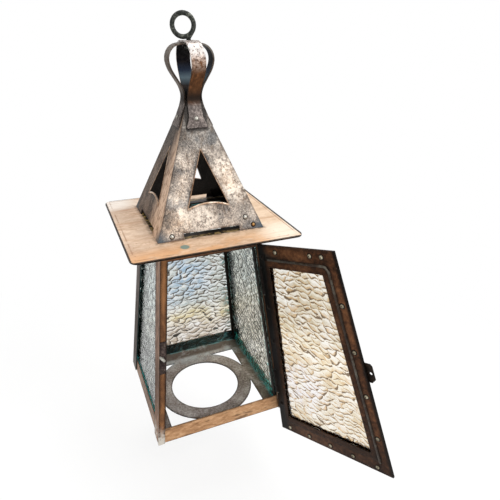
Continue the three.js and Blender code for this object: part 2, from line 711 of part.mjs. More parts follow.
const eyeBase = new THREE.Group();
eyeBase.position.z = EYE_CENTRE;
eyeBase.rotation.z = degrees(EYE_TURN);
lantern.add(eyeBase);
const ring = new THREE.TorusGeometry(EYE_RADIUS, EYE_ROD_RADIUS, ROD_SIDES, EYE_STEPS);
ring.rotateX(Math.PI / 2);
ring.translate(-EYE_OFFSET, 0, 0);
const ringFoot = -Math.sqrt(EYE_RADIUS * EYE_RADIUS - EYE_OFFSET * EYE_OFFSET);
const headTop = washerTop - SHEET - GAP - EYE_CENTRE;
const shank = cylinderAlongZ(EYE_ROD_RADIUS, headTop - EYE_HEAD_HEIGHT, ringFoot, ROD_SIDES);
const spreadEnd = cylinderAlongZ(EYE_HEAD_RADIUS, headTop - EYE_HEAD_HEIGHT, headTop, ROD_SIDES);
const linkAngle = degrees(EYE_LINK_ANGLE);
const linkEnd = new THREE.Vector3(
  -EYE_OFFSET + EYE_RADIUS * Math.cos(linkAngle), 0, EYE_RADIUS * Math.sin(linkAngle),
);
const linkStart = new THREE.Vector3(0, 0, -EYE_RADIUS - EYE_LIFT);
const linkSpan = linkEnd.clone().sub(linkStart);
const link = cylinderAlongZ(EYE_ROD_RADIUS, 0, linkSpan.length(), ROD_SIDES);
const linkTurn = new THREE.Quaternion().setFromUnitVectors(
  new THREE.Vector3(0, 0, 1), linkSpan.clone().normalize(),
);
link.applyMatrix4(new THREE.Matrix4().compose(linkStart, linkTurn, new THREE.Vector3(1, 1, 1)));
addPiece(eyeBase, 'hanging_eye', join(ring, shank, spreadEnd, link), copper(IRON_GREY, ROUGH_IRON));

// Catch plate on the left front post, and the button that turns on its stud. It points up and away
// from the door at rest, and down over the hasp when it keeps the door shut.
const catchEdge = (inset) => (height) => -halfAt(height) + inset;
const catchShape = outline(quad(
  CATCH_BOTTOM, CATCH_BOTTOM + CATCH_HEIGHT,
  catchEdge(CATCH_MARGIN), catchEdge(FRONT_FLANGE - CATCH_MARGIN),
));
const catchPlate = frontSheet(catchShape, GAP, GAP + CATCH_THICKNESS);
addPiece(lantern, 'catch_plate', cut(catchPlate, buttonHole()), copper(COPPER_DARK, ROUGH_CRUSTED));

const buttonGroup = new THREE.Group();
buttonGroup.applyMatrix4(buttonPlace());
lantern.add(buttonGroup);
const barShape = new THREE.Shape();
barShape.absarc(0, BUTTON_REACH, BUTTON_WIDTH / 2, 0, Math.PI);
barShape.absarc(0, 0, BUTTON_WIDTH / 2, Math.PI, Math.PI * 2);
const bar = prism(barShape, BUTTON_THICKNESS, BUTTON_SIDES / 2);
bar.rotateZ(degrees(BUTTON_TURN));
bar.translate(0, 0, BUTTON_OUT);
const studFoot = -SHEET - GAP;
const stud = revolve([
  [0, studFoot - BUTTON_THICKNESS],
  [BUTTON_HEAD_RADIUS, studFoot - BUTTON_THICKNESS],
  [BUTTON_HEAD_RADIUS, studFoot],
  [BUTTON_STUD_RADIUS, studFoot],
  [BUTTON_STUD_RADIUS, BUTTON_OUT + BUTTON_THICKNESS / 2],
  [0, BUTTON_OUT + BUTTON_THICKNESS / 2],
], BUTTON_SIDES);
addPiece(buttonGroup, 'turn_button', join(bar, stud), copper(RIVET_GREY, ROUGH_WORN));

// Hinges: the post's leaf wraps round the corner and carries the two outer knuckles and the pin
const knuckleLength = (HINGE_LENGTH - 2 * KNUCKLE_CLEARANCE) / 3;
const rightEdge = (inset) => (height) => halfAt(height) - inset;

function knuckle(low, high, height) {
  return onHinge(cylinderAlongZ(KNUCKLE_RADIUS, low, high, KNUCKLE_SIDES), height);
}

function pinBore(height) {
  return onHinge(cylinderAlongZ(PIN_RADIUS + GAP, -HINGE_LENGTH, HINGE_LENGTH, KNUCKLE_SIDES), height);
}

// A block square to the hinge's axis: left and right of the axis, and behind and in front of it
function hingeBlock(left, right, back, front, halfLength, height) {
  const block = new THREE.BoxGeometry(right - left, front + back, 2 * halfLength);
  block.translate((left + right) / 2, (back - front) / 2, 0);
  return onHinge(block, height);
}

function postLeaf(height) {
  const low = height - HINGE_LENGTH / 2;
  const high = height + HINGE_LENGTH / 2;
  const face = frontSheet(
    outline(quad(low, high, rightEdge(HINGE_INSET), rightEdge(-GAP - HINGE_LEAF))), GAP, GAP + HINGE_LEAF,
  );
  const wrap = frontSheet(
    outline(quad(low, high, rightEdge(-GAP), rightEdge(-GAP - HINGE_LEAF))), -HINGE_WRAP, GAP + HINGE_LEAF,
  );
  const reach = HINGE_LENGTH / 2;
  const web = hingeBlock(-PIN_RADIUS, KNUCKLE_RADIUS, HINGE_STANDOFF - GAP, 0, reach, height);
  const middle = hingeBlock(
    -2 * KNUCKLE_RADIUS, KNUCKLE_RADIUS + GAP, HINGE_STANDOFF, 2 * KNUCKLE_RADIUS,
    knuckleLength / 2 + KNUCKLE_CLEARANCE, height,
  );
  const body = join(
    face, wrap, web,
    knuckle(knuckleLength / 2 + KNUCKLE_CLEARANCE, reach, height),
    knuckle(-reach, -knuckleLength / 2 - KNUCKLE_CLEARANCE, height),
  );
  return cut(body, middle, pinBore(height));
}

function doorLeaf(height) {
  const low = height - HINGE_LENGTH / 2;
  const high = height + HINGE_LENGTH / 2;
  const clear = HINGE_INSET + KNUCKLE_RADIUS + GAP;
  const plate = frontSheet(
    outline(quad(low, high, rightEdge(HINGE_INSET + HINGE_DOOR_LEAF), rightEdge(clear))),
    HASP_OUT, HASP_OUT + HINGE_LEAF,
  );
  const tongue = hingeBlock(
    -KNUCKLE_RADIUS - 2 * GAP - HINGE_LEAF, 0,
    HINGE_STANDOFF - HASP_OUT, HASP_OUT + HINGE_LEAF - HINGE_STANDOFF, knuckleLength / 2, height,
  );
  return cut(join(plate, tongue, knuckle(-knuckleLength / 2, knuckleLength / 2, height)), pinBore(height));
}

function hingePin(height) {
  const reach = HINGE_LENGTH / 2 + GAP;
  const pin = revolve([
    [0, -reach - PIN_HEAD_HEIGHT],
    [PIN_HEAD_RADIUS, -reach - PIN_HEAD_HEIGHT],
    [PIN_HEAD_RADIUS, -reach],
    [PIN_RADIUS, -reach],
    [PIN_RADIUS, reach],
    [PIN_HEAD_RADIUS, reach],
    [PIN_HEAD_RADIUS, reach + PIN_HEAD_HEIGHT],
    [0, reach + PIN_HEAD_HEIGHT],
  ], KNUCKLE_SIDES);
  return onHinge(pin, height);
}

// Door: a stepped outer frame, a pane in its recess and a joggled frame inside that keeps the pane
const doorHinges = { upper: HINGE_UPPER, lower: HINGE_LOWER };
const swing = new THREE.Quaternion().setFromAxisAngle(hingeAxis, degrees(DOOR_OPEN_ANGLE));
const door = new THREE.Group();
door.quaternion.copy(swing);
door.position.copy(hingeFoot).sub(hingeFoot.clone().applyQuaternion(swing));
lantern.add(door);

function doorQuad(free, hinge, top, bottom) {
  return quad(
    DOOR_BOTTOM + bottom, DOOR_TOP - top,
    (z) => -halfAt(z) + DOOR_FREE_INSET + free, (z) => halfAt(z) - HINGE_INSET - hinge,
  );
}

// A flat frame between two insets from the door's edges, given for the free side, hinge side, top and bottom
function doorRing(outer, inner, near, far) {
  const shape = outline(doorQuad(...outer));
  shape.holes.push(hole(doorQuad(...inner)));
  return frontSheet(shape, near, far);
}

function grown(insets, by) {
  return insets.map((inset) => inset + by);
}

// Room in the hinge stile for the knuckles of one hinge
function knuckleNotch(height) {
  const reach = KNUCKLE_RADIUS + GAP;
  const halfLength = HINGE_LENGTH / 2 + PIN_HEAD_HEIGHT + 2 * GAP;
  return hingeBlock(-reach, reach, HINGE_STANDOFF, DOOR_RAISED_OUT, halfLength, height);
}

const edge = [0, 0, 0, 0];
const band = [DOOR_BAND_STILE, DOOR_BAND_HINGE, DOOR_BAND_TOP, DOOR_BAND_BOTTOM];
const sight = [DOOR_STILE, DOOR_HINGE_STILE, DOOR_TOP_RAIL, DOOR_BOTTOM_RAIL];
const recess = grown(band, SHEET);
const notches = Object.values(doorHinges).map(knuckleNotch);

const doorFrame = join(
  doorRing(edge, recess, DOOR_GLASS_OUT, DOOR_BAND_OUT),
  doorRing(band, recess, DOOR_GLASS_OUT, DOOR_RAISED_OUT + SHEET),
  doorRing(band, sight, DOOR_RAISED_OUT, DOOR_RAISED_OUT + SHEET),
);
addPiece(door, 'door_frame', cut(doorFrame, ...notches), copper(COPPER_BROWN, ROUGH_AGED));

const retainer = join(
  doorRing(edge, recess, DOOR_STANDOFF, RETAINER_OUT),
  doorRing(band, sight, DOOR_STANDOFF - RETAINER_JOGGLE, RETAINER_OUT - RETAINER_JOGGLE),
);
addPiece(door, 'door_retainer', cut(retainer, ...notches), copper(COPPER_DARK, ROUGH_AGED));

const doorPane = frontSheet(
  outline(doorQuad(...grown(recess, GLASS_MARGIN))), DOOR_GLASS_OUT, DOOR_GLASS_OUT + GLASS_THICKNESS,
);
addPiece(door, 'door_glass', doorPane, glassMaterial());

for (const [place, height] of Object.entries(doorHinges)) {
  addPiece(lantern, `hinge_post_leaf_${place}`, postLeaf(height), copper(COPPER_BROWN, ROUGH_AGED));
  addPiece(lantern, `hinge_pin_${place}`, hingePin(height), copper(RIVET_GREY, ROUGH_WORN));
  addPiece(door, `hinge_door_leaf_${place}`, doorLeaf(height), copper(COPPER_BROWN, ROUGH_AGED));
}

// Hasp: a plate on the free stile, with a chamfered tip and a small hole beyond the door's edge
const freeEdge = (inset) => (height) => -halfAt(height) + DOOR_FREE_INSET + inset;
const haspBottom = HASP_TOP - HASP_HEIGHT;
const haspTip = freeEdge(-HASP_REACH);
const haspRoot = freeEdge(HASP_OVERLAP);
const haspShape = outline([
  [haspRoot(haspBottom), haspBottom],
  [haspRoot(HASP_TOP), HASP_TOP],
  [haspTip(HASP_TOP) + HASP_CHAMFER / 2, HASP_TOP],
  [haspTip(HASP_TOP), HASP_TOP - HASP_CHAMFER / 2],
  [haspTip(haspBottom + HASP_CHAMFER), haspBottom + HASP_CHAMFER],
  [haspTip(haspBottom) + HASP_CHAMFER, haspBottom],
]);
const haspMiddle = haspBottom + HASP_HEIGHT / 2;
const haspHole = new THREE.Path();
haspHole.absarc(freeEdge(-HASP_REACH / 2)(haspMiddle), haspMiddle, HASP_HOLE_RADIUS, 0, Math.PI * 2);
haspShape.holes.push(hole(haspHole.getSpacedPoints(BUTTON_SIDES).slice(0, -1).map((p) => [p.x, p.y])));
const hasp = frontSheet(haspShape, HASP_OUT, HASP_OUT + HASP_THICKNESS);
addPiece(door, 'hasp_plate', hasp, copper(COPPER_PATINA, ROUGH_AGED));

const copperLantern = new THREE.Group();
copperLantern.add(lantern);

export default copperLantern;
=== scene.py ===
# Looks of the hanging copper lantern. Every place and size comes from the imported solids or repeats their
# driving sizes. Each metal piece is a copy of its solid with eased edges and its own finish, the panes get a
# rolled relief, and the small fasteners and trims are added. Metres, +Z up, -Y towards the front.
import json
import math

import bmesh
import bpy
import numpy as np
from mathutils import Color, Matrix, Vector

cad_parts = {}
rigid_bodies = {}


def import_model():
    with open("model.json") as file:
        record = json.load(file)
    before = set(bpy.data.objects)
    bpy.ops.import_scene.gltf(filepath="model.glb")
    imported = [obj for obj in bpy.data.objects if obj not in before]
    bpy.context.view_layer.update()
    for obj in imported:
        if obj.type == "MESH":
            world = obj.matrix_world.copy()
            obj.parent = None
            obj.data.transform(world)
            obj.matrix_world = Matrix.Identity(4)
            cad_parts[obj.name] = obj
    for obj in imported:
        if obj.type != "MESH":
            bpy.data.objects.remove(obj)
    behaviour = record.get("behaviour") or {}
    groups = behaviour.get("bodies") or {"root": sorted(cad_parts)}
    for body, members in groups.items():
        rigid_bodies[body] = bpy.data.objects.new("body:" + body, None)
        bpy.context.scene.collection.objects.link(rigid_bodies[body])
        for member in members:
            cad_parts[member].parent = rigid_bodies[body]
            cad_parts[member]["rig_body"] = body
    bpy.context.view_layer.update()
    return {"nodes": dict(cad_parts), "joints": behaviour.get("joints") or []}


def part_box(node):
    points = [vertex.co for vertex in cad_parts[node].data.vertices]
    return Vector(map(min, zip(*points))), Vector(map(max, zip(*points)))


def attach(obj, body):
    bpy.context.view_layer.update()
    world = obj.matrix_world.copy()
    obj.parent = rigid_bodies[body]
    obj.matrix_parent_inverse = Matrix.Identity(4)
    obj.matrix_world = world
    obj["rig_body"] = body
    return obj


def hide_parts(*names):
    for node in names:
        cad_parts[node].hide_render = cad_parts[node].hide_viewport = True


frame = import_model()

# Camera, fitted to the photograph
CAMERA_PLACE = (-0.12724, -0.43885, -0.00809)
CAMERA_ANGLES = (64.231, -0.485, -23.041)
CAMERA_LENS = 33.371
SENSOR = 36.0

# Studio: each lamp has its place from the aim above the base, its size in metres and its power in watts
LAMP_AIM = 0.2
LAMPS = {
    "key": ((0.9, -1.2, 1.0), 1.0, 22),
    "fill": ((-1.3, -0.7, 0.2), 1.2, 5),
    "top": ((0.2, 0.1, 1.5), 1.0, 15),
}
WORLD_STRENGTH = 0.5
WHITE = (1, 1, 1, 1)
FLOOR_DROP = 0.11
FLOOR_SIZE = 40.0
FLOOR_TONE = (0.93, 0.93, 0.92, 1)
FLOOR_ROUGHNESS = 0.9
FLOOR_GLOW = 0.8
GLOW_BAND = (0.25, 0.6)

# Body and pyramid, as in the solids
BASE_HALF = 0.075
TAPER = 0.110515
PYRAMID_SLOPE = 0.3964
VENT_HALF = 0.02075
VENT_SILL = 0.0245
VENT_HEIGHT = 0.051
VENT_RISE = 0.004
ROOF_CORNER = 0.0075
SIDES = ("front", "right", "back", "left")
CORNERS = ("front_left", "front_right", "back_left", "back_right")

# Closed door: insets from the body's edges, heights above the base, distances before the front
DOOR_BOTTOM = -0.025
DOOR_TOP = 0.2086
DOOR_FREE_INSET = 0.005
HINGE_INSET = 0.0058
INNER_FACE = 0.0018
OUTER_FACE = 0.0043

# Trim on the door, with heads and rods as radius and height
BEAD_ROD = (0.0015, 0.0011)
BEAD_FREE = 0.0112
BEAD_TOP = 0.0155
BEAD_HINGE = 0.0125
BEAD_BOTTOM = 0.0125
BEAD_CORNER = 0.007
RIVET_HEAD = (0.0021, 0.0013)
RIVET_SHADOW_SEAT = (0.003, 0.0003)
RIVET_PIT = (0.0007, 0.00035)
RIVET_PIT_RISE = 0.00117
TOP_RIVETS = (0.0153, 0.0284, 0.0709)
TOP_RIVET_DROP = 0.0068
FREE_RIVET_INSET = 0.0065
FREE_RIVET_FOOT = 0.0171
FREE_RIVET_STEP = 0.0464
FREE_RIVET_COUNT = 4
LOW_RIVET_RISE = 0.0055
LOW_RIVET_START = 0.0158
LOW_RIVET_STEP = 0.0286
LOW_RIVET_COUNT = 5
HINGE_RIVET_INSET = 0.0052
HINGE_RIVETS = (0.012, 0.096, 0.1383, 0.195)

# Trim on the roof, pyramid and catch plate. The pyramid's faces are counted from the front.
SCREW_HEAD = (0.0021, 0.0013)
SCREW_SHADOW_SEAT = (0.0027, 0.0004)
SCREW_REACH = 0.0391
SCREW_RISE = 0.0037
EXTRA_SCREW_REACH = 0.0353
EXTRA_SCREW_RISE = 0.0115
BRASS_SCREW_REACH = 0.0426
BRASS_HEAD = (0.00168, 0.0013)
SCREWED_FACES = (0, 1, 2)
LIP_ROD = (0.0006, 0.00042)
SILL_ROD = (0.0009, 0.0009)
RIM_ROD = (0.001, 0.001)
RIM_INSET = 0.0007
RIM_RISE = 0.0009
CATCH_RIVETS = (0.0905, 0.117, 0.1195)
CATCH_RIVET_INSET = 0.0036
CATCH_RIVET_OUT = 0.0011
CATCH_HEAD = (0.0011, 0.0006)

# Steps of round shapes
DOME_SIDES = 14
DOME_RINGS = 4
ROD_SIDES = 8
RIM_SIDES = 10
BEND_STEPS = 6
ARC_STEPS = 10

# Welded points and eased edges
WELD = 1e-6
WELD_DIGITS = 6
FLAT_ANGLE = 0.6
SHARP_ANGLE = 32.0
EDGE_EASE = 0.00028
EDGE_STEPS = 2

# Ways that faces look
UP = Vector((0, 0, 1))
TO_LEFT = Vector((-1, 0, 0))
TO_FRONT = Vector((0, -1, 0))

# Relief of the rolled glass: pillows in metres across and up, and waves that bend them as sway and length
DOOR_PILLOW = (0.0116, 0.0057)
BACK_PILLOW = (0.0105, 0.0064)
SIDE_PILLOW = (0.012, 0.0058)
RIPPLES = ((0.0016, 0.013), (0.0007, 0.0046), (0.0006, 0.0016))
RIPPLE_SKEW = 0.4
RELIEF = 0.0006
RELIEF_STEP = 0.0007
PILLOW_CROWN = 3.2
STRAY = (0.02, 0.98)
STAGGER = 0.5
SWELL = 0.3
WEAKEST = 0.6
NEIGHBOURS = 2
NO_BORDER = 9.0

# Shade of the pillows' sides, 0 to 1, for a light that turns slowly over the pane
PLAIN_SHADE = 0.5
SHADE_REACH = 0.42
SHADE_GAIN = 0.8
SHADE_BIAS = 0.24
CROWN_SHADE = 0.14
LIGHT_LEAN = 0.25
LIGHT_TURN = 0.3
LIGHT_WAVES = (0.017, 0.021)

# Brightest value of a screen colour
SCREEN_TOP = 255


def tone(*screen):
    """A colour written as screen values, as a shader takes it."""
    color = Color([channel / SCREEN_TOP for channel in screen])
    return (*color.from_srgb_to_scene_linear(), 1.0)


def tones(*colors):
    return tuple(tone(*color) for color in colors)


# Colours that several finishes share
RUSSET = tone(138, 88, 54)
BROWN = tone(104, 70, 46)
UMBER = tone(70, 48, 34)
# A near-black that the finishes use mostly as painted shade
NEAR_BLACK = tone(26, 21, 18)
TEAL_DARK = tone(34, 58, 60)
TEAL = tone(84, 142, 140)

# Metals, each from dark to light
ROOF = tones((174, 140, 112), (204, 174, 146), (226, 202, 178))
PYRAMID = tones((96, 89, 83), (164, 151, 139), (230, 214, 196))
STRAP = tones((60, 39, 24), (92, 60, 37), (138, 93, 59))
STRAP_GREY = tones((44, 38, 34), (74, 65, 58), (106, 95, 86))
POST = tones((74, 49, 32), (110, 75, 49), (150, 104, 66))
BASE_RAIL = tones((122, 84, 54), (176, 134, 96), (214, 176, 138))
SIDE_RAIL = tones((60, 44, 32), (104, 76, 54), (150, 112, 80))
TOP_RAIL = (UMBER, BROWN, RUSSET)
PLATE = tones((110, 98, 92), (166, 154, 149), (214, 207, 204))
DOOR = tones((36, 22, 13), (77, 48, 30), (118, 78, 50))
DARK = tones((12, 10, 9), (24, 19, 16), (48, 37, 29))
RIM_SHADE = tones((10, 8, 7), (26, 20, 16), (70, 48, 34))
LIP = tones((104, 70, 46), (160, 132, 108), (232, 216, 198))
BEAD = tones((30, 22, 16), (58, 46, 37), (96, 92, 82))
CATCH = tones((26, 20, 20), (54, 44, 42), (104, 90, 84))
STEEL = tones((92, 88, 80), (156, 153, 144), (202, 200, 192))
DULL_STEEL = tones((86, 77, 60), (156, 147, 125), (204, 196, 172))
BRASS = tones((104, 70, 46), (168, 118, 62), (214, 172, 110))
IRON = tones((24, 26, 24), (46, 48, 45), (112, 114, 104))

# All finishes: the middle of noise, specks by the scale and band of theirs, other bands, Mix node sockets
MIDDLE = 0.5
PATCHES = (0.4, 0.58)
EDGE_BREAKS = (90, 0.15, 0.45)
EDGE_FALLOFF = (0.88, 0.999)
EDGE_SAMPLES = 6
BLOTCHES = (0.3, 0.7)
LOOKS_IN = (-0.35, -0.15)
LOOKS_UP = (0.4, 0.7)
LOOKS_LEFT = (-0.9, -0.6)
MIX_FIRST = 6
MIX_SECOND = 7
MIX_RESULT = 2
MEASURES = ("DISTANCE", "DOT_PRODUCT", "LENGTH")

# Roof finish: bands across and along the roof, from the pyramid's foot and from the roof's edge
# Painted light on the right of the roof, and painted shade on the left, broken into smudges
ROOF_LIT_TONE = tone(230, 204, 170)
ROOF_RIGHT = (0.0, 0.07)
ROOF_SHADE_TONE = tone(180, 154, 132)
ROOF_LEFT = (-0.08, -0.02)
ROOF_ORANGE = tone(218, 162, 108)
ROOF_FRONT = (-0.075, -0.056)
ROOF_STREAK = tone(176, 132, 96)
ROOF_STREAKS = (150, 0.55, 0.7)
ROOF_SPECKS = (330, 0.66, 0.72)
SLOT_GOLD = tone(186, 156, 98)
FOOT_SHADE = (0.0005, 0.004)
UNDER_PYRAMID_SHADE = (-0.0012, -0.0004)
SLOT_INNER = (-0.007, -0.0045)
SLOT_OUTER = (-0.0014, -0.0008)
RIGHT_EDGE_SHADE = (-0.003, -0.002)
ROOF_EDGE_SHADE = (-0.0018, -0.001)
FOLD_INNER = (-0.0058, -0.005)
FOLD_OUTER = (-0.0046, -0.0038)

# Roof spots: place, radius and core. The two pale ones are painted highlights; the stain is verdigris.
BACK_HIGHLIGHT = ((-0.075, 0.072), 0.035, 0.006)
BACK_HIGHLIGHT_TONE = tone(244, 236, 226)
FRONT_HIGHLIGHT = ((0.07, -0.068), 0.034, 0.006)
FRONT_HIGHLIGHT_TONE = tone(240, 226, 208)
STAIN = ((-0.0317, -0.0677), 0.005, 0.0034)
VERDIGRIS = tone(98, 130, 124)

# Pyramid finish: bands of noise, from the arrises and vents, below the top and of painted shadow round the
# straps' tails
PINK_CLOUD = tone(226, 214, 202)
PINK_CLOUDS = (30, 0.5, 0.6)
BLUE_CLOUD = tone(184, 190, 198)
BLUE_CLOUDS = (42, 0.52, 0.62)
PYRAMID_STREAK = tone(182, 168, 157)
PYRAMID_STREAKS = (240, 0.5, 0.68)
ARRIS_TONE = tone(160, 164, 170)
ARRIS = (0.0005, 0.01)
VENT_TONE = tone(148, 156, 166)
BESIDE_VENT = (0.001, 0.006)
ABOVE_SILL = (-0.004, 0.004)
CROWN_TONE = tone(178, 184, 190)
PYRAMID_CROWN = (-0.06, -0.03)
TAIL_FOOT = (-0.004, -0.001)
TAIL_SIDE = (0.0098, 0.0118)
LEFT_SHADE_TONE = tone(144, 126, 110)
LEFT_TAN = tone(232, 198, 168)
LEFT_GRAIN = tone(150, 126, 106)
LEFT_GRAINS = (330, 0.46, 0.6)
FRONT_HALF = (-0.03, 0.002)
FOOT_BLUE = tone(66, 76, 84)
FOOT_RADIUS = 0.017
FOOT_CORE = 0.002

# Pyramid spots on the front face: across, rise and radius. The bright ones are painted highlights.
HIGHLIGHT_SPOTS = ((0.029, 0.037, 0.02), (0.019, 0.06, 0.015), (-0.006, 0.014, 0.022))
HIGHLIGHT_TONE = tone(244, 231, 215)
DULL_SPOT = (0.0355, 0.013, 0.02)
DULL_TONE = tone(208, 212, 216)
SPOT_CORE = 0.004

# Strap finish: bands from the neck and from the top, patina below the neck, a painted highlight on the crown,
# and inside a blue tone with painted shade and a painted sheen
NECK_RISE = 0.03
PATINA = tones((52, 47, 45), (88, 81, 78), (140, 130, 124))
PATINA_LEVELS = (0.38, 0.5, 0.62)
BELOW_NECK = (-0.012, -0.004)
NECK_TONE = tone(30, 23, 19)
NECK_FROM = (-0.011, -0.005)
NECK_TO = (-0.004, 0.006)
WORN = (-0.028, -0.014)
WORN_PINK = tone(200, 176, 160)
WORN_GREY = tone(96, 87, 79)
CROWN = (-0.018, -0.007)
CROWN_HIGHLIGHT = tone(190, 187, 184)
GREY_CROWN_HIGHLIGHT = tone(110, 104, 97)
CROWN_TOP = (-0.0035, -0.001)
SPECKS = (520, 0.54, 0.6)
SPECKED = (-0.026, -0.013)
INNER_SHADE_AND_SHEEN = tones((10, 12, 14), (78, 94, 102), (30, 44, 62), (7, 10, 18), (3, 3, 4))
INNER_SHADE_LEVELS = (0.04, 0.18, 0.36, 0.6, 0.9)

# Rail, post and plate finishes
RAIL_STREAKS = (230, 0.62, 0.7)
BASE_INNER = tone(70, 128, 142)
BASE_BLOOM = tone(34, 62, 72)
# The side rails' inner verdigris, made brighter than its own colour as painted light for the dim inside
SIDE_INNER_LIT = tone(40, 220, 235)
SIDE_BLOOM_LIT = tone(150, 255, 255)
ALONG_RAIL = (0.35, 0.35, 1)
POST_WORN = tone(204, 198, 188)
POST_FOOT = (0.004, 0.026)
BACK_POST_SHADE = (0.0, 0.04)
PLATE_SHADE = tone(8, 7, 6)
PLATE_SHEEN = tone(196, 206, 212)
PLATE_BACK = (0.03, 0.05)
PLATE_BROWN = tone(96, 76, 62)
PLATE_BORDER = (0.05, 0.056)
PLATE_TEAL = tone(96, 170, 176)
PLATE_RAILS = (0.0645, 0.068)

# Door finish: insets from the hinges, from the free edge, and heights above the door's foot
HINGE_SHADE = tone(6, 6, 6)
HINGE_STILE = (0.006, 0.016)
FREE_BLACK = tone(8, 6, 5)
FREE_EDGE = (0.0005, 0.0035)
STEP_BLACK = tone(12, 9, 7)
STEP_FROM = (0.0085, 0.0115)
STEP_TO = (0.0135, 0.018)
DOOR_FOOT = (0.004, 0.05)

# Glass finish: heights of the body's tones above the base, and bands of noise, strength, border and shade
GLASS_HEIGHT = (0.02, 0.2)
EVEN_LEVELS = (0.2, 0.45, 0.75)
WAVER = 0.2
STRONG_PILLOW = (0.8, 1.0)
STRONG_TINT = 0.45
CLOUDS = (36, 0.42, 0.62)
GLASS_PATCHES = (70, 0.36, 0.56)
PATCH_CORE = 0.3
RIM_BAND = (0.009, 0.018)
RIM_WANDER = 0.006
# Bands of the shade attribute: painted shade, deeper painted shade along the creases, painted highlights
SHADED = (0.2, 0.44)
DEEP_SHADE = (0.07, 0.24)
GLINTS = (0.54, 0.66)
GLASS_ROUGHNESS = 0.06
GLASS_INDEX = 1.46
# Each pane: body tones from foot to top, then painted shade, the darkest painted shade at creases and a
# painted highlight
LEFT_GLASS = dict(
    body=tones((72, 76, 66), (226, 232, 224), (232, 244, 238)),
    shaded=tone(184, 190, 180),
    crease=tone(84, 100, 96),
    glint=tone(232, 240, 234),
    rim=tone(60, 104, 102),
    shine=0.2,
    haze=0.1,
)
RIGHT_GLASS = dict(
    body=tones((252, 246, 228), (218, 214, 200), (200, 208, 202)),
    shaded=tone(162, 158, 140),
    crease=tone(20, 24, 20),
    glint=tone(242, 242, 232),
    rim=tone(96, 204, 204),
    shine=0.15,
)
BACK_GLASS = dict(
    body=tones((200, 188, 172), (216, 200, 152), (192, 198, 192)),
    levels=(0.03, 0.13, 0.27),
    shaded=tone(128, 112, 96),
    crease=tone(6, 5, 4),
    glint=tone(248, 249, 250),
    rim=tone(70, 100, 100),
)
DOOR_GLASS = dict(
    body=tones((226, 212, 184), (246, 232, 200), (206, 193, 166)),
    shaded=tone(208, 160, 104),
    crease=tone(60, 42, 26),
    glint=tone(255, 255, 252),
)

# Patches of sky in the glass: a place on the back pane and one across the door, with heights above the base
BACK_PATCH = (-0.008, 0.057, 0.12)
BACK_PATCH_RADIUS = 0.055
BACK_PATCH_TONE = tone(164, 188, 208)
DOOR_PATCH = (0.03, 0.045)
DOOR_PATCH_RADIUS = 0.045
DOOR_PATCH_TONE = tone(242, 240, 246)

# What the frame says
base_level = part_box("base_rail_front")[0].z
roof_low, roof_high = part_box("roof_plate")
pyramid_low, pyramid_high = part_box("vent_pyramid")
strap_low, strap_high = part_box("strap_front_back")
foot_level = pyramid_low.z
foot_half = pyramid_high.x


class Nodes:
    """A node tree, with short calls to add nodes and to feed their sockets."""

    def __init__(self, tree):
        self.tree = tree

    def feed(self, socket, value):
        if isinstance(value, bpy.types.NodeSocket):
            self.tree.links.new(value, socket)
        else:
            socket.default_value = value

    def add(self, kind, *values, **settings):
        """A new node with its settings, and with values for its first sockets."""
        made = self.tree.nodes.new(kind)
        for key, setting in settings.items():
            setattr(made, key, setting)
        for socket, value in zip(made.inputs, values):
            self.feed(socket, value)
        return made

    def plug(self, node, **sockets):
        """Feeds a node's sockets by name, with underscores for spaces."""
        for key, value in sockets.items():
            self.feed(node.inputs[key.replace("_", " ")], value)

    def math(self, operation, first, second=0.0):
        return self.add("ShaderNodeMath", first, second, operation=operation).outputs[0]

    def seen_rays(self):
        """1 for camera, glossy and transmitted rays."""
        path = self.add("ShaderNodeLightPath").outputs
        seen = self.math("MAXIMUM", path["Is Camera Ray"], path["Is Glossy Ray"])
        return self.math("MAXIMUM", seen, path["Is Transmission Ray"])


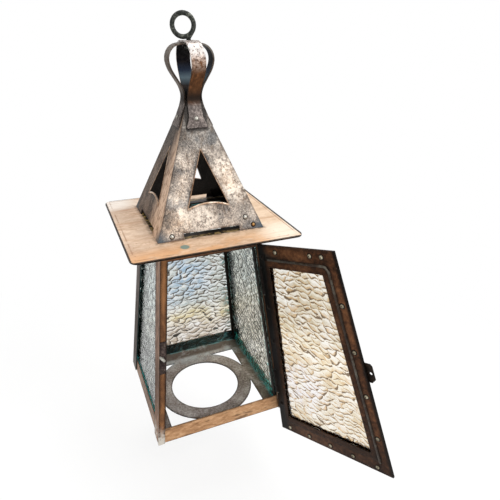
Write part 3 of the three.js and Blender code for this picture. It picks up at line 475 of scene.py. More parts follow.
class Coat(Nodes):
    """A material in the making, with short calls for what the finishes share. Places are in the object's own
    coordinates, so a finish stays on its piece when a joint moves it. Masks run from 0 to 1."""

    def __init__(self, name):
        self.material = bpy.data.materials.new(name)
        self.material.use_nodes = True
        super().__init__(self.material.node_tree)
        self.shader = self.tree.nodes["Principled BSDF"]
        coordinates = self.add("ShaderNodeTexCoord").outputs
        self.place = coordinates["Object"]
        self.normal = coordinates["Normal"]
        self.tone = None

    def set(self, **sockets):
        self.plug(self.shader, **sockets)

    def overlay(self, share, other):
        """Mixes a share of another shader into the material's own."""
        joined = self.add("ShaderNodeMixShader", share, self.shader.outputs[0], other)
        self.plug(self.tree.nodes["Material Output"], Surface=joined.outputs[0])

    def both(self, first, second):
        return self.math("MULTIPLY", first, second)

    def vector(self, operation, first, second=(0, 0, 0)):
        made = self.add("ShaderNodeVectorMath", first, second, operation=operation)
        return made.outputs["Value" if operation in MEASURES else "Vector"]

    def attribute(self, name):
        return self.add("ShaderNodeAttribute", attribute_name=name).outputs["Fac"]

    def noise(self, scale, detail=4.0, roughness=0.55, stretch=(1, 1, 1), distortion=0.0):
        mapping = self.add("ShaderNodeMapping")
        self.plug(mapping, Vector=self.place, Scale=stretch)
        made = self.add("ShaderNodeTexNoise")
        self.plug(made, Vector=mapping.outputs[0], Scale=scale)
        self.plug(made, Detail=detail, Roughness=roughness, Distortion=distortion)
        return made.outputs["Fac"]

    def span(self, value, low, high, out_low=0.0, out_high=1.0):
        """A smooth step of a value between two limits."""
        made = self.add("ShaderNodeMapRange", value, low, high, out_low, out_high)
        made.interpolation_type = "SMOOTHSTEP"
        return made.outputs["Result"]

    def above(self, value, band, origin=0.0):
        """1 above a band measured from an origin, 0 below it."""
        return self.span(value, origin + band[0], origin + band[1])

    def below(self, value, band, origin=0.0):
        """1 below a band measured from an origin, 0 above it."""
        return self.span(value, origin + band[0], origin + band[1], 1.0, 0.0)

    def between(self, value, first, second, origin=0.0):
        """1 above a first band and below a second one."""
        return self.both(self.above(value, first, origin), self.below(value, second, origin))

    def speckle(self, scale, low, high, **noise):
        """1 where noise of a scale lies above a band."""
        return self.span(self.noise(scale, **noise), low, high)

    def ramp(self, value, levels, colors):
        """Colours at levels of a value, blended between them."""
        made = self.add("ShaderNodeValToRGB", value)
        stops = list(zip(levels, colors))
        elements = made.color_ramp.elements
        elements[0].position, elements[0].color = stops[0]
        elements[1].position, elements[1].color = stops[-1]
        for position, color in stops[1:-1]:
            elements.new(position).color = color
        return made.outputs[0]

    def mix(self, share, first, second, blend="MIX"):
        made = self.add("ShaderNodeMix", data_type="RGBA", blend_type=blend)
        self.feed(made.inputs[0], share)
        self.feed(made.inputs[MIX_FIRST], first)
        self.feed(made.inputs[MIX_SECOND], second)
        return made.outputs[MIX_RESULT]

    def part(self, vector, name):
        return self.add("ShaderNodeSeparateXYZ", vector).outputs[name]

    def axis(self, name):
        return self.part(self.place, name)

    def facing(self, name):
        """How far a face looks along an axis, from -1 to 1."""
        return self.part(self.normal, name)

    def reach(self, pick="MAXIMUM"):
        """The larger, or the smaller, of the distances from the lantern's axis along X and Y."""
        distances = [self.math("ABSOLUTE", self.axis(name)) for name in "XY"]
        return self.math(pick, *distances)

    def near(self, point, radius, core):
        """1 within a core round a point, falling to 0 at a radius."""
        return self.below(self.vector("DISTANCE", self.place, point), (core, radius))

    def inside(self):
        """1 on faces that look towards the lantern's axis."""
        level = self.vector("MULTIPLY", self.place, (1, 1, 0))
        outward = self.vector("NORMALIZE", level)
        return self.below(self.vector("DOT_PRODUCT", outward, self.normal), LOOKS_IN)

    def along(self, origin, direction):
        """Distance from a point along a direction."""
        offset = self.vector("SUBTRACT", self.place, origin)
        return self.vector("DOT_PRODUCT", offset, direction)

    def edges(self, radius):
        """1 along sharp edges, falling off within a radius."""
        eased = self.add("ShaderNodeBevel", radius, samples=EDGE_SAMPLES)
        true = self.add("ShaderNodeNewGeometry").outputs["Normal"]
        return self.below(self.vector("DOT_PRODUCT", eased.outputs[0], true), EDGE_FALLOFF)

    def bump(self, height, depth):
        made = self.add("ShaderNodeBump")
        self.plug(made, Height=height, Distance=depth, Strength=1.0)
        self.set(Normal=made.outputs[0])

    def mottle(self, coarse, fine, share, stretch=(1, 1, 1)):
        """Blotches of two sizes in one value."""
        large = self.noise(coarse, detail=5.0, roughness=0.6, stretch=stretch)
        small = self.noise(fine, roughness=0.65, stretch=stretch, distortion=0.4)
        return self.math("ADD", self.both(large, 1 - share), self.both(small, share))

    def lay(self, mask, color, share=0.9, broken=None, blend="MIX"):
        """Lays a colour over the tone where a mask says, broken up by noise if a scale is given."""
        amount = self.both(mask, share)
        if broken:
            amount = self.both(amount, self.speckle(broken, *PATCHES, detail=5.0, roughness=0.65))
        self.tone = self.mix(amount, self.tone, color, blend)

    def darken(self, mask, color, share=0.9, broken=None):
        """Multiplies the tone by a colour where a mask says."""
        self.lay(mask, color, share, broken, "MULTIPLY")

    def done(self):
        self.set(Base_Color=self.tone)
        return self.material


def aged(name, metal, coarse=26, fine=240, share=0.45, stretch=(1, 1, 1), spread=0.14, edge=NEAR_BLACK,
         edge_radius=0.0025, edge_share=0.8, metallic=0.5, rough=(0.38, 0.62), grain=0.00012, shine=0.25):
    """Aged sheet metal: blotches between three tones, darkened edges and a fine uneven surface."""
    coat = Coat(name)
    blotch = coat.mottle(coarse, fine, share, stretch)
    coat.tone = coat.ramp(blotch, (MIDDLE - spread, MIDDLE, MIDDLE + spread), metal)
    # Sharp edges take the edge tone, broken by noise; on the plate that tone is painted shade on its walls
    worn = coat.both(coat.edges(edge_radius), coat.speckle(*EDGE_BREAKS))
    coat.lay(worn, edge, edge_share)
    coat.set(Metallic=metallic, Specular_IOR_Level=shine)
    coat.set(Roughness=coat.span(blotch, *BLOTCHES, rough[1], rough[0]))
    coat.bump(coat.mottle(coarse=120, fine=700, share=0.6, stretch=stretch), grain)
    return coat


def roof_finish():
    """Peach copper, with painted light on the right and painted shade on the left, orange in front, painted
    highlights at two corners, and painted shade under the pyramid, on faces that don't look up and along the
    edges.
    """
    coat = aged("roof_copper", ROOF, coarse=16, fine=140, stretch=(1, 2.2, 1), spread=0.12,
                edge_radius=0.0022, edge_share=0.85, metallic=0.35, rough=(0.34, 0.48), grain=0.00005)
    across = coat.axis("X")
    reach = coat.reach()
    edge = roof_high.x

    def spot(place, radius, core):
        return coat.near((*place, roof_high.z), radius, core)

    # Painted light on the right, painted shade on the left
    coat.lay(coat.above(across, ROOF_RIGHT), ROOF_LIT_TONE, share=0.35)
    coat.lay(coat.below(across, ROOF_LEFT), ROOF_SHADE_TONE, share=0.4, broken=24)
    # Painted highlight at the back left corner
    coat.lay(spot(*BACK_HIGHLIGHT), BACK_HIGHLIGHT_TONE, share=0.8)
    coat.lay(coat.below(coat.axis("Y"), ROOF_FRONT), ROOF_ORANGE, share=0.6, broken=34)
    # Painted highlight near the front right corner
    coat.lay(spot(*FRONT_HIGHLIGHT), FRONT_HIGHLIGHT_TONE, share=0.7)
    streaks = coat.speckle(*ROOF_STREAKS, detail=3.0, roughness=0.6, stretch=(0.06, 1, 1))
    coat.lay(streaks, ROOF_STREAK, share=0.5)
    # Painted shade round the pyramid's foot, and near-black painted shade inside its footprint
    coat.lay(coat.below(reach, FOOT_SHADE, foot_half), UMBER, share=0.6, broken=120)
    coat.lay(coat.below(reach, UNDER_PYRAMID_SHADE, foot_half), NEAR_BLACK, share=0.97)
    coat.lay(coat.between(reach, SLOT_INNER, SLOT_OUTER, foot_half), SLOT_GOLD, broken=170)
    # Painted shade on faces that don't look up, and along the right and outer edges under the hem
    coat.lay(coat.below(coat.facing("Z"), LOOKS_UP), NEAR_BLACK, share=0.92)
    coat.lay(coat.above(across, RIGHT_EDGE_SHADE, edge), NEAR_BLACK, share=0.92)
    coat.lay(coat.above(reach, ROOF_EDGE_SHADE, edge), NEAR_BLACK, share=0.85)
    coat.lay(coat.between(reach, FOLD_INNER, FOLD_OUTER, edge), RUSSET, share=0.6, broken=60)
    coat.lay(coat.speckle(*ROOF_SPECKS, detail=3.0), RUSSET, share=0.5)
    coat.lay(spot(*STAIN), VERDIGRIS)
    return coat.done()


def pyramid_finish():
    """Grey speckled patina, darker along arrises and vents, with painted highlights on the front face,
    painted shade on the left face, which is tan towards the front, painted shadow under the straps' tails and
    painted shade inside.
    """
    coat = aged("pyramid_patina", PYRAMID, coarse=60, fine=900, share=0.6, stretch=(1, 1, 0.7), spread=0.12,
                edge=UMBER, edge_radius=0.0035, edge_share=0.85, metallic=0.3, rough=(0.45, 0.68),
                grain=0.0003)
    height = coat.axis("Z")
    wide = coat.reach()
    narrow = coat.reach("MINIMUM")

    def front_spot(across, rise, radius):
        return coat.near(on_face(across, rise)[0], radius, SPOT_CORE)

    coat.darken(coat.speckle(*PINK_CLOUDS, roughness=0.6), PINK_CLOUD, share=0.8)
    coat.darken(coat.speckle(*BLUE_CLOUDS, roughness=0.6), BLUE_CLOUD)
    streaks = coat.speckle(*PYRAMID_STREAKS, detail=3.0, roughness=0.6, stretch=(1, 1, 0.12))
    coat.darken(streaks, PYRAMID_STREAK, share=0.7)
    from_arris = coat.math("SUBTRACT", wide, narrow)
    coat.darken(coat.below(from_arris, ARRIS), ARRIS_TONE, share=0.6, broken=60)
    apex = foot_level + VENT_SILL + VENT_HEIGHT
    vent_edge = coat.both(coat.math("SUBTRACT", apex, height), VENT_HALF / VENT_HEIGHT)
    beside = coat.below(coat.math("SUBTRACT", narrow, vent_edge), BESIDE_VENT)
    over_sill = coat.above(height, ABOVE_SILL, foot_level + VENT_SILL)
    coat.darken(coat.both(beside, over_sill), VENT_TONE, broken=70)
    coat.darken(coat.above(height, PYRAMID_CROWN, pyramid_high.z), CROWN_TONE, share=0.95)
    # Painted highlights on the front face
    for spot in HIGHLIGHT_SPOTS:
        coat.lay(front_spot(*spot), HIGHLIGHT_TONE, share=0.6, broken=300)
    coat.darken(front_spot(*DULL_SPOT), DULL_TONE)
    left = coat.below(coat.facing("X"), LOOKS_LEFT)
    # Painted shade on the left face
    coat.darken(left, LEFT_SHADE_TONE)
    coat.lay(coat.both(left, coat.below(coat.axis("Y"), FRONT_HALF)), LEFT_TAN, share=0.75)
    grain = coat.speckle(*LEFT_GRAINS, roughness=0.7, stretch=(1, 1, 0.1))
    coat.darken(coat.both(left, grain), LEFT_GRAIN, share=0.75)
    for side_x in (-1, 1):
        for side_y in (-1, 1):
            corner = (side_x * foot_half, side_y * foot_half, foot_level)
            coat.lay(coat.near(corner, FOOT_RADIUS, FOOT_CORE), FOOT_BLUE)
    # Painted shadow under the straps' tails, and painted shade inside
    tail_shadow = coat.both(coat.above(height, TAIL_FOOT, strap_low.z), coat.below(narrow, TAIL_SIDE))
    coat.lay(tail_shadow, NEAR_BLACK, share=0.85)
    coat.lay(coat.inside(), NEAR_BLACK, share=0.97)
    return coat.done()


def strap_finish(name, metal, worn, crown, **more):
    """Copper at the bulb, worn paler below the top, a painted highlight on the crown, grey patina from the
    neck down, and inside a blue tone with painted shade above and a painted sheen low down.
    """
    coat = aged(name, metal, coarse=30, fine=300, stretch=(1, 1, 0.5), edge_share=0.9, edge_radius=0.002,
                rough=(0.4, 0.58), grain=0.00008, **more)
    height = coat.axis("Z")
    neck = strap_low.z + NECK_RISE
    top = strap_high.z
    patina = coat.ramp(coat.mottle(coarse=70, fine=520, share=0.6), PATINA_LEVELS, PATINA)
    coat.lay(coat.below(height, BELOW_NECK, neck), patina, share=0.97)
    coat.lay(coat.between(height, NECK_FROM, NECK_TO, neck), NECK_TONE, share=0.95)
    coat.lay(coat.above(height, WORN, top), worn, share=0.85, broken=330)
    # Painted highlight on the crown
    coat.lay(coat.above(height, CROWN, top), crown, share=0.85)
    coat.lay(coat.above(height, CROWN_TOP, top), metal[1], share=0.7, broken=140)
    specks = coat.both(coat.speckle(*SPECKS, detail=2.0), coat.above(height, SPECKED, top))
    coat.lay(specks, UMBER, share=0.7)
    # Inside: a blue tone with painted shade above and a painted sheen low down
    inner_shade = coat.ramp(coat.span(height, neck, top), INNER_SHADE_LEVELS, INNER_SHADE_AND_SHEEN)
    coat.lay(coat.inside(), inner_shade, share=0.97)
    return coat.done()


def rail_finish(name, metal, inner=TEAL_DARK, bloom=TEAL, **more):
    """Streaked copper with verdigris on the faces that look inwards."""
    coat = aged(name, metal, **more)
    streaks = coat.speckle(*RAIL_STREAKS, detail=2.0, roughness=0.6, stretch=(0.2, 0.2, 1))
    coat.lay(streaks, UMBER, share=0.6)
    inside = coat.inside()
    coat.lay(inside, inner, share=0.95)
    coat.lay(inside, bloom, share=0.85, broken=60)
    return coat.done()


def post_finish():
    """Brown copper, worn pale at the foot, with painted shade on the posts at the back."""
    coat = aged("post_copper", POST, coarse=34, fine=260, stretch=(1, 1, 0.3), edge_share=1.0,
                edge_radius=0.0038, shine=0.12)
    coat.lay(coat.below(coat.axis("Z"), POST_FOOT, base_level), POST_WORN, broken=110)
    # Painted shade on the posts at the back
    coat.lay(coat.above(coat.axis("Y"), BACK_POST_SHADE), NEAR_BLACK, share=0.82)
    coat.lay(coat.inside(), TEAL_DARK)
    return coat.done()


def plate_finish():
    """Grey patina with a pink cast and a painted blue-white sheen at the back, streaked brown and green near
    the rails, with edges and walls painted black as shade.
    """
    # Its black edge tone is painted shade
    coat = aged("plate_patina", PLATE, coarse=40, fine=460, share=0.55, edge=PLATE_SHADE,
                edge_radius=0.0032, edge_share=1.0)
    reach = coat.reach()
    # Painted blue-white sheen towards the back
    coat.lay(coat.above(coat.axis("Y"), PLATE_BACK), PLATE_SHEEN, share=0.5, broken=45)
    coat.lay(coat.above(reach, PLATE_BORDER), PLATE_BROWN, share=0.85, broken=40)
    coat.lay(coat.above(reach, PLATE_RAILS), PLATE_TEAL, share=0.6, broken=90)
    # Painted shade on the walls, the faces that don't look up
    coat.lay(coat.below(coat.facing("Z"), LOOKS_UP), PLATE_SHADE, share=0.97)
    return coat.done()


def door_finish():
    """Dark red-brown copper with black edges and a hinge stile painted black as shade."""
    coat = aged("door_copper", DOOR, coarse=22, fine=260, edge_radius=0.0055, edge_share=1.0, metallic=0.45,
                rough=(0.34, 0.52), shine=0.08)
    turned = swing.to_3x3()
    across = coat.along(swing.translation, turned @ Vector((1, 0, 0)))
    height = coat.along(swing.translation, turned @ UP)
    drawn_in = coat.both(height, TAPER)
    half = half_at(-base_level)
    from_hinge = coat.math("SUBTRACT", half - HINGE_INSET, coat.math("ADD", across, drawn_in))
    # Painted shade: the hinge stile black
    coat.lay(coat.below(from_hinge, HINGE_STILE), HINGE_SHADE, share=0.97)
    from_free = coat.math("ADD", half - DOOR_FREE_INSET, coat.math("SUBTRACT", across, drawn_in))
    coat.lay(coat.below(from_free, FREE_EDGE), FREE_BLACK, share=0.85)
    coat.lay(coat.between(from_free, STEP_FROM, STEP_TO), STEP_BLACK, share=0.4)
    coat.lay(coat.below(height, DOOR_FOOT, base_level + DOOR_BOTTOM), NEAR_BLACK, share=0.35)
    return coat.done()


def glass_finish(name, body, shaded, crease, glint, levels=EVEN_LEVELS, rim=None, patch=None, shine=0.5,
                 haze=0.5):
    """Clear rolled glass. Its body runs through three tones from the foot to the top, its pillows' sides take
    painted shade and highlights for a light that turns over the pane, and a rim tone greens its edges. Its
    shadows stay light."""
    coat = Coat(name)
    waver = coat.both(coat.noise(scale=22, detail=3.0), WAVER)
    height = coat.above(coat.axis("Z"), GLASS_HEIGHT, base_level)
    level = coat.math("ADD", height, coat.math("SUBTRACT", waver, WAVER / 2))
    coat.tone = coat.ramp(level, levels, body)
    coat.lay(coat.above(coat.attribute("cell"), STRONG_PILLOW), shaded, share=STRONG_TINT)
    coat.lay(coat.speckle(*CLOUDS, detail=3.0), glint, share=haze)
    if patch:
        point, radius, color = patch
        spread = coat.near(point, radius, radius * PATCH_CORE)
        coat.lay(coat.both(spread, coat.speckle(*GLASS_PATCHES)), color, share=1.0)
    if rim:
        wander = coat.both(coat.noise(scale=60, detail=3.0), RIM_WANDER)
        from_edge = coat.math("SUBTRACT", coat.attribute("border"), wander)
        coat.lay(coat.below(from_edge, RIM_BAND), rim, share=1.0)
    # Painted shade and highlights on the pillows' sides, from the shade attribute
    shade = coat.attribute("shade")
    coat.lay(coat.below(shade, SHADED), shaded, share=1.0)
    coat.lay(coat.below(shade, DEEP_SHADE), crease, share=1.0)
    coat.lay(coat.above(shade, GLINTS), glint, share=1.0)
    coat.set(Transmission_Weight=1.0, Roughness=GLASS_ROUGHNESS, IOR=GLASS_INDEX, Specular_IOR_Level=shine)
    clearing = coat.add("ShaderNodeBsdfTransparent", glint).outputs[0]
    coat.overlay(coat.add("ShaderNodeLightPath").outputs["Is Shadow Ray"], clearing)
    return coat.done()


# Pieces

def link(name, data):
    made = bpy.data.objects.new(name, data)
    bpy.context.scene.collection.objects.link(made)
    return made


def new_piece(name, mesh):
    data = bpy.data.meshes.new(name)
    mesh.to_mesh(data)
    mesh.free()
    return link(name, data)


def settle(piece, material, body):
    """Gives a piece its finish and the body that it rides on."""
    piece.data.materials.append(material)
    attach(piece, body)


def stand_in(piece, material, node):
    """Lets a piece take the place of a CAD node, on its body."""
    settle(piece, material, frame["nodes"][node]["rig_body"])
    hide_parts(node)


def dressed(node, material, ease=EDGE_EASE):
    """A copy of a solid with its flat faces joined up, its sharp edges eased and its own finish."""
    mesh = bmesh.new()
    mesh.from_mesh(frame["nodes"][node].data)
    bmesh.ops.remove_doubles(mesh, verts=mesh.verts, dist=WELD)
    bmesh.ops.dissolve_limit(mesh, angle_limit=math.radians(FLAT_ANGLE), verts=mesh.verts, edges=mesh.edges)
    piece = new_piece(node + "_dressed", mesh)
    piece.data.materials.clear()
    piece.data.shade_smooth()
    piece.data.set_sharp_from_angle(angle=math.radians(SHARP_ANGLE))
    bevel = piece.modifiers.new("eased_edges", "BEVEL")
    bevel.width = ease
    bevel.segments = EDGE_STEPS
    bevel.limit_method = "ANGLE"
    bevel.angle_limit = math.radians(SHARP_ANGLE)
    bevel.harden_normals = True
    stand_in(piece, material, node)


# Panes

def pane_sides(node, way):
    """The corners of a pane's flat and rolled faces, from bottom left round to top left as seen from the side
    that a way points to, with the normal of the rolled face and the level axis."""
    data = frame["nodes"][node].data
    normal = max(data.polygons, key=lambda face: face.area).normal.copy()
    if normal.dot(way) < 0:
        normal.negate()
    corners = {tuple(round(value, WELD_DIGITS) for value in vertex.co) for vertex in data.vertices}
    points = sorted((Vector(corner) for corner in corners), key=lambda point: point.dot(normal))
    across = UP.cross(normal).normalized()
    faces = []
    for group in (points[:4], points[4:]):
        level = sorted(group, key=lambda point: point.z)
        low = sorted(level[:2], key=lambda point: point.dot(across))
        high = sorted(level[2:], key=lambda point: point.dot(across))
        faces.append([np.array(corner) for corner in (low[0], low[1], high[1], high[0])])
    return faces, np.array(normal), np.array(across)


def pillows(across, up, size, seed):
    """Rolled glass over points in a pane's plane. Gives each point's distance from a crease, from 0 to about
    1, its lean to the light, from -1 to 1, its height on its pillow's lit side and its pillow's strength."""
    draw = np.random.RandomState(seed)
    phase = draw.uniform(0, math.tau, 2 * len(RIPPLES) + 2)
    plane = np.stack([across, up])
    grid = plane
    for (sway, length), shift in zip(RIPPLES, phase.reshape(-1, 2, 1, 1)):
        grid = grid + sway * np.sin((plane[::-1] + RIPPLE_SKEW * plane) / length + shift)
    grid = grid / np.reshape(size, (2, 1, 1))
    low = np.floor(grid.min((1, 2))).astype(int) - NEIGHBOURS
    count = tuple(np.ceil(grid.max((1, 2))).astype(int) + NEIGHBOURS + 1 - low)
    centres = draw.uniform(*STRAY, (*count, 2))
    centres[:, ::2, 0] += STAGGER
    sizes = draw.uniform(0.0, SWELL, count)
    strengths = draw.uniform(WEAKEST, 1.0, count)
    steps = np.arange(-NEIGHBOURS, NEIGHBOURS + 1)
    around = np.stack(np.meshgrid(steps, steps, indexing="ij")).reshape(2, -1, 1, 1)
    cell = np.floor(grid).astype(int)[:, None] + around
    column, row = cell - low.reshape(2, 1, 1, 1)
    way = np.moveaxis(cell - grid[:, None], 0, -1) + centres[column, row]
    away = np.linalg.norm(way, axis=-1) - sizes[column, row]
    nearest = np.argsort(away, axis=0)[:2]
    first, second = np.take_along_axis(away, nearest, 0)
    first_way, second_way = np.take_along_axis(way, nearest[..., None], 0)
    strength = np.take_along_axis(strengths[column, row], nearest[:1], 0)[0]
    inward = (first_way - second_way) / size
    inward /= np.linalg.norm(inward, axis=-1, keepdims=True)
    wave = np.sin(across / LIGHT_WAVES[0] + phase[-2]) + np.sin(up / LIGHT_WAVES[1] + phase[-1])
    turn = LIGHT_LEAN + LIGHT_TURN * wave
    light = np.stack([np.sin(turn), -np.cos(turn)], -1)
    lean = (inward * light).sum(-1)
    rise = (first_way * light).sum(-1)
    return second - first, lean * strength, rise, strength


def sheet(name, front, back):
    """A closed mesh of a grid of front points, walls round it and a face over the rim of the back points."""
    index = np.arange(front.shape[0] * front.shape[1]).reshape(front.shape[:2])
    rim = np.concatenate([index[0, :-1], index[:-1, -1], index[-1, :0:-1], index[:0:-1, 0]])
    behind = np.arange(len(rim)) + index.size
    quads = np.stack([index[:-1, :-1], index[:-1, 1:], index[1:, 1:], index[1:, :-1]], -1).reshape(-1, 4)
    walls = np.stack([np.roll(rim, -1), rim, behind, np.roll(behind, -1)], -1)
    points = np.concatenate([front.reshape(-1, 3), back.reshape(-1, 3)[rim]])
    data = bpy.data.meshes.new(name)
    data.from_pydata(points.tolist(), [], quads.tolist() + walls.tolist() + [behind[::-1].tolist()])
    data.polygons.foreach_set("use_smooth", np.arange(len(data.polygons)) < len(quads))
    return data


def pane(node, material, size, seed, way):
    """A pane with a rolled relief on the face that looks along a way. It stays inside its solid, and its
    points carry the shade, their pillow's strength and the distance from the border."""
    (plain, rolled), normal, across = pane_sides(node, way)
    up = np.cross(normal, across)
    low_left, low_right, _, high_left = rolled
    width = np.linalg.norm(low_right - low_left)
    height = np.linalg.norm(high_left - low_left)
    columns = int(width / RELIEF_STEP)
    rows = int(height / RELIEF_STEP)
    share_x, share_y = np.meshgrid(np.linspace(0, 1, columns + 1), np.linspace(0, 1, rows + 1))
    border = np.minimum(np.minimum(share_x, 1 - share_x) * width, np.minimum(share_y, 1 - share_y) * height)

    def spread(face):
        bottom = face[0] + (face[1] - face[0]) * share_x[..., None]
        top = face[3] + (face[2] - face[3]) * share_x[..., None]
        return bottom + (top - bottom) * share_y[..., None]

    flat = spread(rolled)
    depth, lean, rise, strength = pillows(flat @ across, flat @ up, size, seed)
    relief = flat - normal * (RELIEF * np.exp(-PILLOW_CROWN * depth))[..., None]
    leaning = SHADE_GAIN * (lean - SHADE_BIAS) * np.exp(-depth / SHADE_REACH)
    shade = np.clip(PLAIN_SHADE + leaning + CROWN_SHADE * rise, 0, 1)
    data = sheet(node + "_rolled", relief, spread(plain))
    fields = (("shade", shade, PLAIN_SHADE), ("cell", strength, 0.0), ("border", border, NO_BORDER))
    for name, values, elsewhere in fields:
        carried = np.full(len(data.vertices), elsewhere)
        carried[:values.size] = values.ravel()
        data.attributes.new(name, "FLOAT", "POINT").data.foreach_set("value", carried)
    stand_in(link(data.name, data), material, node)


# Fasteners and trim

def skin(mesh, rings):
    """Adds smooth faces between neighbouring rings of points."""
    for low, high in zip(rings, rings[1:]):
        for side in range(len(low)):
            after = (side + 1) % len(low)
            mesh.faces.new((low[side], low[after], high[after], high[side])).smooth = True


def dome(mesh, place, outward, radius, height):
    """Adds a domed head with a closed foot to a mesh."""
    turn = outward.to_track_quat("Z", "Y").to_matrix()
    circles = []
    for ring in range(DOME_RINGS):
        angle = ring / DOME_RINGS * math.pi / 2
        level = radius * math.cos(angle)
        circle = []
        for side in range(DOME_SIDES):
            around = math.tau * side / DOME_SIDES
            local = Vector((level * math.cos(around), level * math.sin(around), height * math.sin(angle)))
            circle.append(mesh.verts.new(place + turn @ local))
        circles.append(circle)
    top = mesh.verts.new(place + turn @ UP * height)
    mesh.faces.new(circles[0][::-1])
    skin(mesh, circles)
    last = circles[-1]
    for side in range(DOME_SIDES):
        mesh.faces.new((last[side], last[(side + 1) % DOME_SIDES], top)).smooth = True


def rivets(name, places, head, material, body, slot):
    """Domed heads at places that each give a point and the way out."""
    mesh = bmesh.new()
    for point, outward in places:
        dome(mesh, point, outward, *head)
    settle(new_piece(name, mesh), material, body)


def moulding(name, path, outward, rod, material, body, slot, full=False):
    """A half-round rod along an open path, or a full round one along a closed path."""
    radius, height = rod
    sides = RIM_SIDES if full else ROD_SIDES
    turn = math.tau if full else math.pi
    steps = sides if full else sides + 1
    mesh = bmesh.new()
    rings = []
    for index, point in enumerate(path):
        before = path[index - 1] if index or full else point
        after = path[(index + 1) % len(path)] if index + 1 < len(path) or full else point
        across = (after - before).normalized().cross(outward).normalized()
        ring = []
        for step in range(steps):
            angle = turn * step / sides
            offset = across * radius * math.cos(angle) + outward * height * math.sin(angle)
            ring.append(mesh.verts.new(point + offset))
        rings.append(ring)
    if full:
        rings.append(rings[0])
    else:
        mesh.faces.new(rings[0])
        mesh.faces.new(rings[-1][::-1])
    skin(mesh, rings)
    bmesh.ops.recalc_face_normals(mesh, faces=mesh.faces)
    settle(new_piece(name, mesh), material, body)


def rounded(points, radius):
    """A path through points, with its inner corners rounded off."""
    path = [points[0]]
    for before, corner, after in zip(points, points[1:], points[2:]):
        start = corner + (before - corner).normalized() * radius
        end = corner + (after - corner).normalized() * radius
        for step in range(BEND_STEPS + 1):
            share = step / BEND_STEPS
            path.append(start * (1 - share) ** 2 + corner * 2 * share * (1 - share) + end * share ** 2)
    path.append(points[-1])
    return path


def half_at(height):
    """Half the body's width at a height above the base."""
    return BASE_HALF - TAPER * height


def free_x(height, inset):
    """The place across the front of an inset from the door's free edge."""
    return -half_at(height) + DOOR_FREE_INSET + inset


def hinge_x(height, inset):
    """The place across the front of an inset from the door's hinge edge."""
    return half_at(height) - HINGE_INSET - inset


def door_swing():
    """Turns the closed door to where it stands at rest."""
    hinge = next(entry for entry in frame["joints"] if entry["name"] == "door_hinge")
    centre = Matrix.Translation(hinge["pos_m"])
    turn = Matrix.Rotation(math.radians(-hinge["range_deg"][0]), 4, hinge["axis"])
    return centre @ turn @ centre.inverted()


swing = door_swing()
front_out = Vector((0, -1, TAPER)).normalized()
door_out = (swing.to_3x3() @ front_out).normalized()


def on_front(x, height, out):
    """A point across the front, above the base and before the front plane."""
    return Vector((x, -half_at(height) - out, base_level + height))


def on_door(x, height, out):
    """The same for the door, carried to where it stands at rest."""
    return swing @ on_front(x, height, out)


def door_rivets(metal, dark_metal):
    """Rivets round the door's band: on both faces a head whose punched middle is a dark dot of painted shade,
    on a dark seat of tarnish and painted shadow. The ones at the hinges are dark all over, as painted shade."""
    top = DOOR_TOP - TOP_RIVET_DROP
    low = DOOR_BOTTOM + LOW_RIVET_RISE
    spots = [(free_x(top, inset), top) for inset in TOP_RIVETS]
    for count in range(FREE_RIVET_COUNT):
        height = FREE_RIVET_FOOT + count * FREE_RIVET_STEP
        spots.append((free_x(height, FREE_RIVET_INSET), height))
    for count in range(LOW_RIVET_COUNT):
        spots.append((free_x(low, LOW_RIVET_START + count * LOW_RIVET_STEP), low))
    hinge_spots = [(hinge_x(height, HINGE_RIVET_INSET), height) for height in HINGE_RIVETS]
    for face, out, outward in (("inner", INNER_FACE, -door_out), ("outer", OUTER_FACE, door_out)):
        bright = [(on_door(x, height, out), outward) for x, height in spots]
        in_shade = [(on_door(x, height, out), outward) for x, height in hinge_spots]
        places = bright + in_shade
        tops = [(place + outward * RIVET_PIT_RISE, outward) for place, _ in places]
        dark = (dark_metal, "door", "copper_dark")
        rivets(f"door_rivets_{face}", bright, RIVET_HEAD, metal, "door", "rivet_metal")
        rivets(f"hinge_rivets_{face}", in_shade, RIVET_HEAD, *dark)
        rivets(f"door_rivet_shadow_seats_{face}", places, RIVET_SHADOW_SEAT, *dark)
        rivets(f"door_rivet_pits_{face}", tops, RIVET_PIT, *dark)


def door_bead(metal):
    """Half-round bead on the inner face, along the top and down the free side."""
    top = DOOR_TOP - BEAD_TOP
    low = DOOR_BOTTOM + BEAD_BOTTOM
    corners = [
        on_door(hinge_x(top, BEAD_HINGE), top, INNER_FACE),
        on_door(free_x(top, BEAD_FREE), top, INNER_FACE),
        on_door(free_x(low, BEAD_FREE), low, INNER_FACE),
    ]
    path = rounded(corners, BEAD_CORNER)
    moulding("door_bead", path, -door_out, BEAD_ROD, metal, "door", "copper_dark")


def on_face(across, rise, turn=0.0):
    """A point on the pyramid's front face, or on the face turned from it, and the way out of that face."""
    outward = Vector((0, -1, PYRAMID_SLOPE)).normalized()
    point = Vector((across, PYRAMID_SLOPE * rise - foot_half, foot_level + rise))
    spin = Matrix.Rotation(turn, 3, "Z")
    return spin @ point, spin @ outward


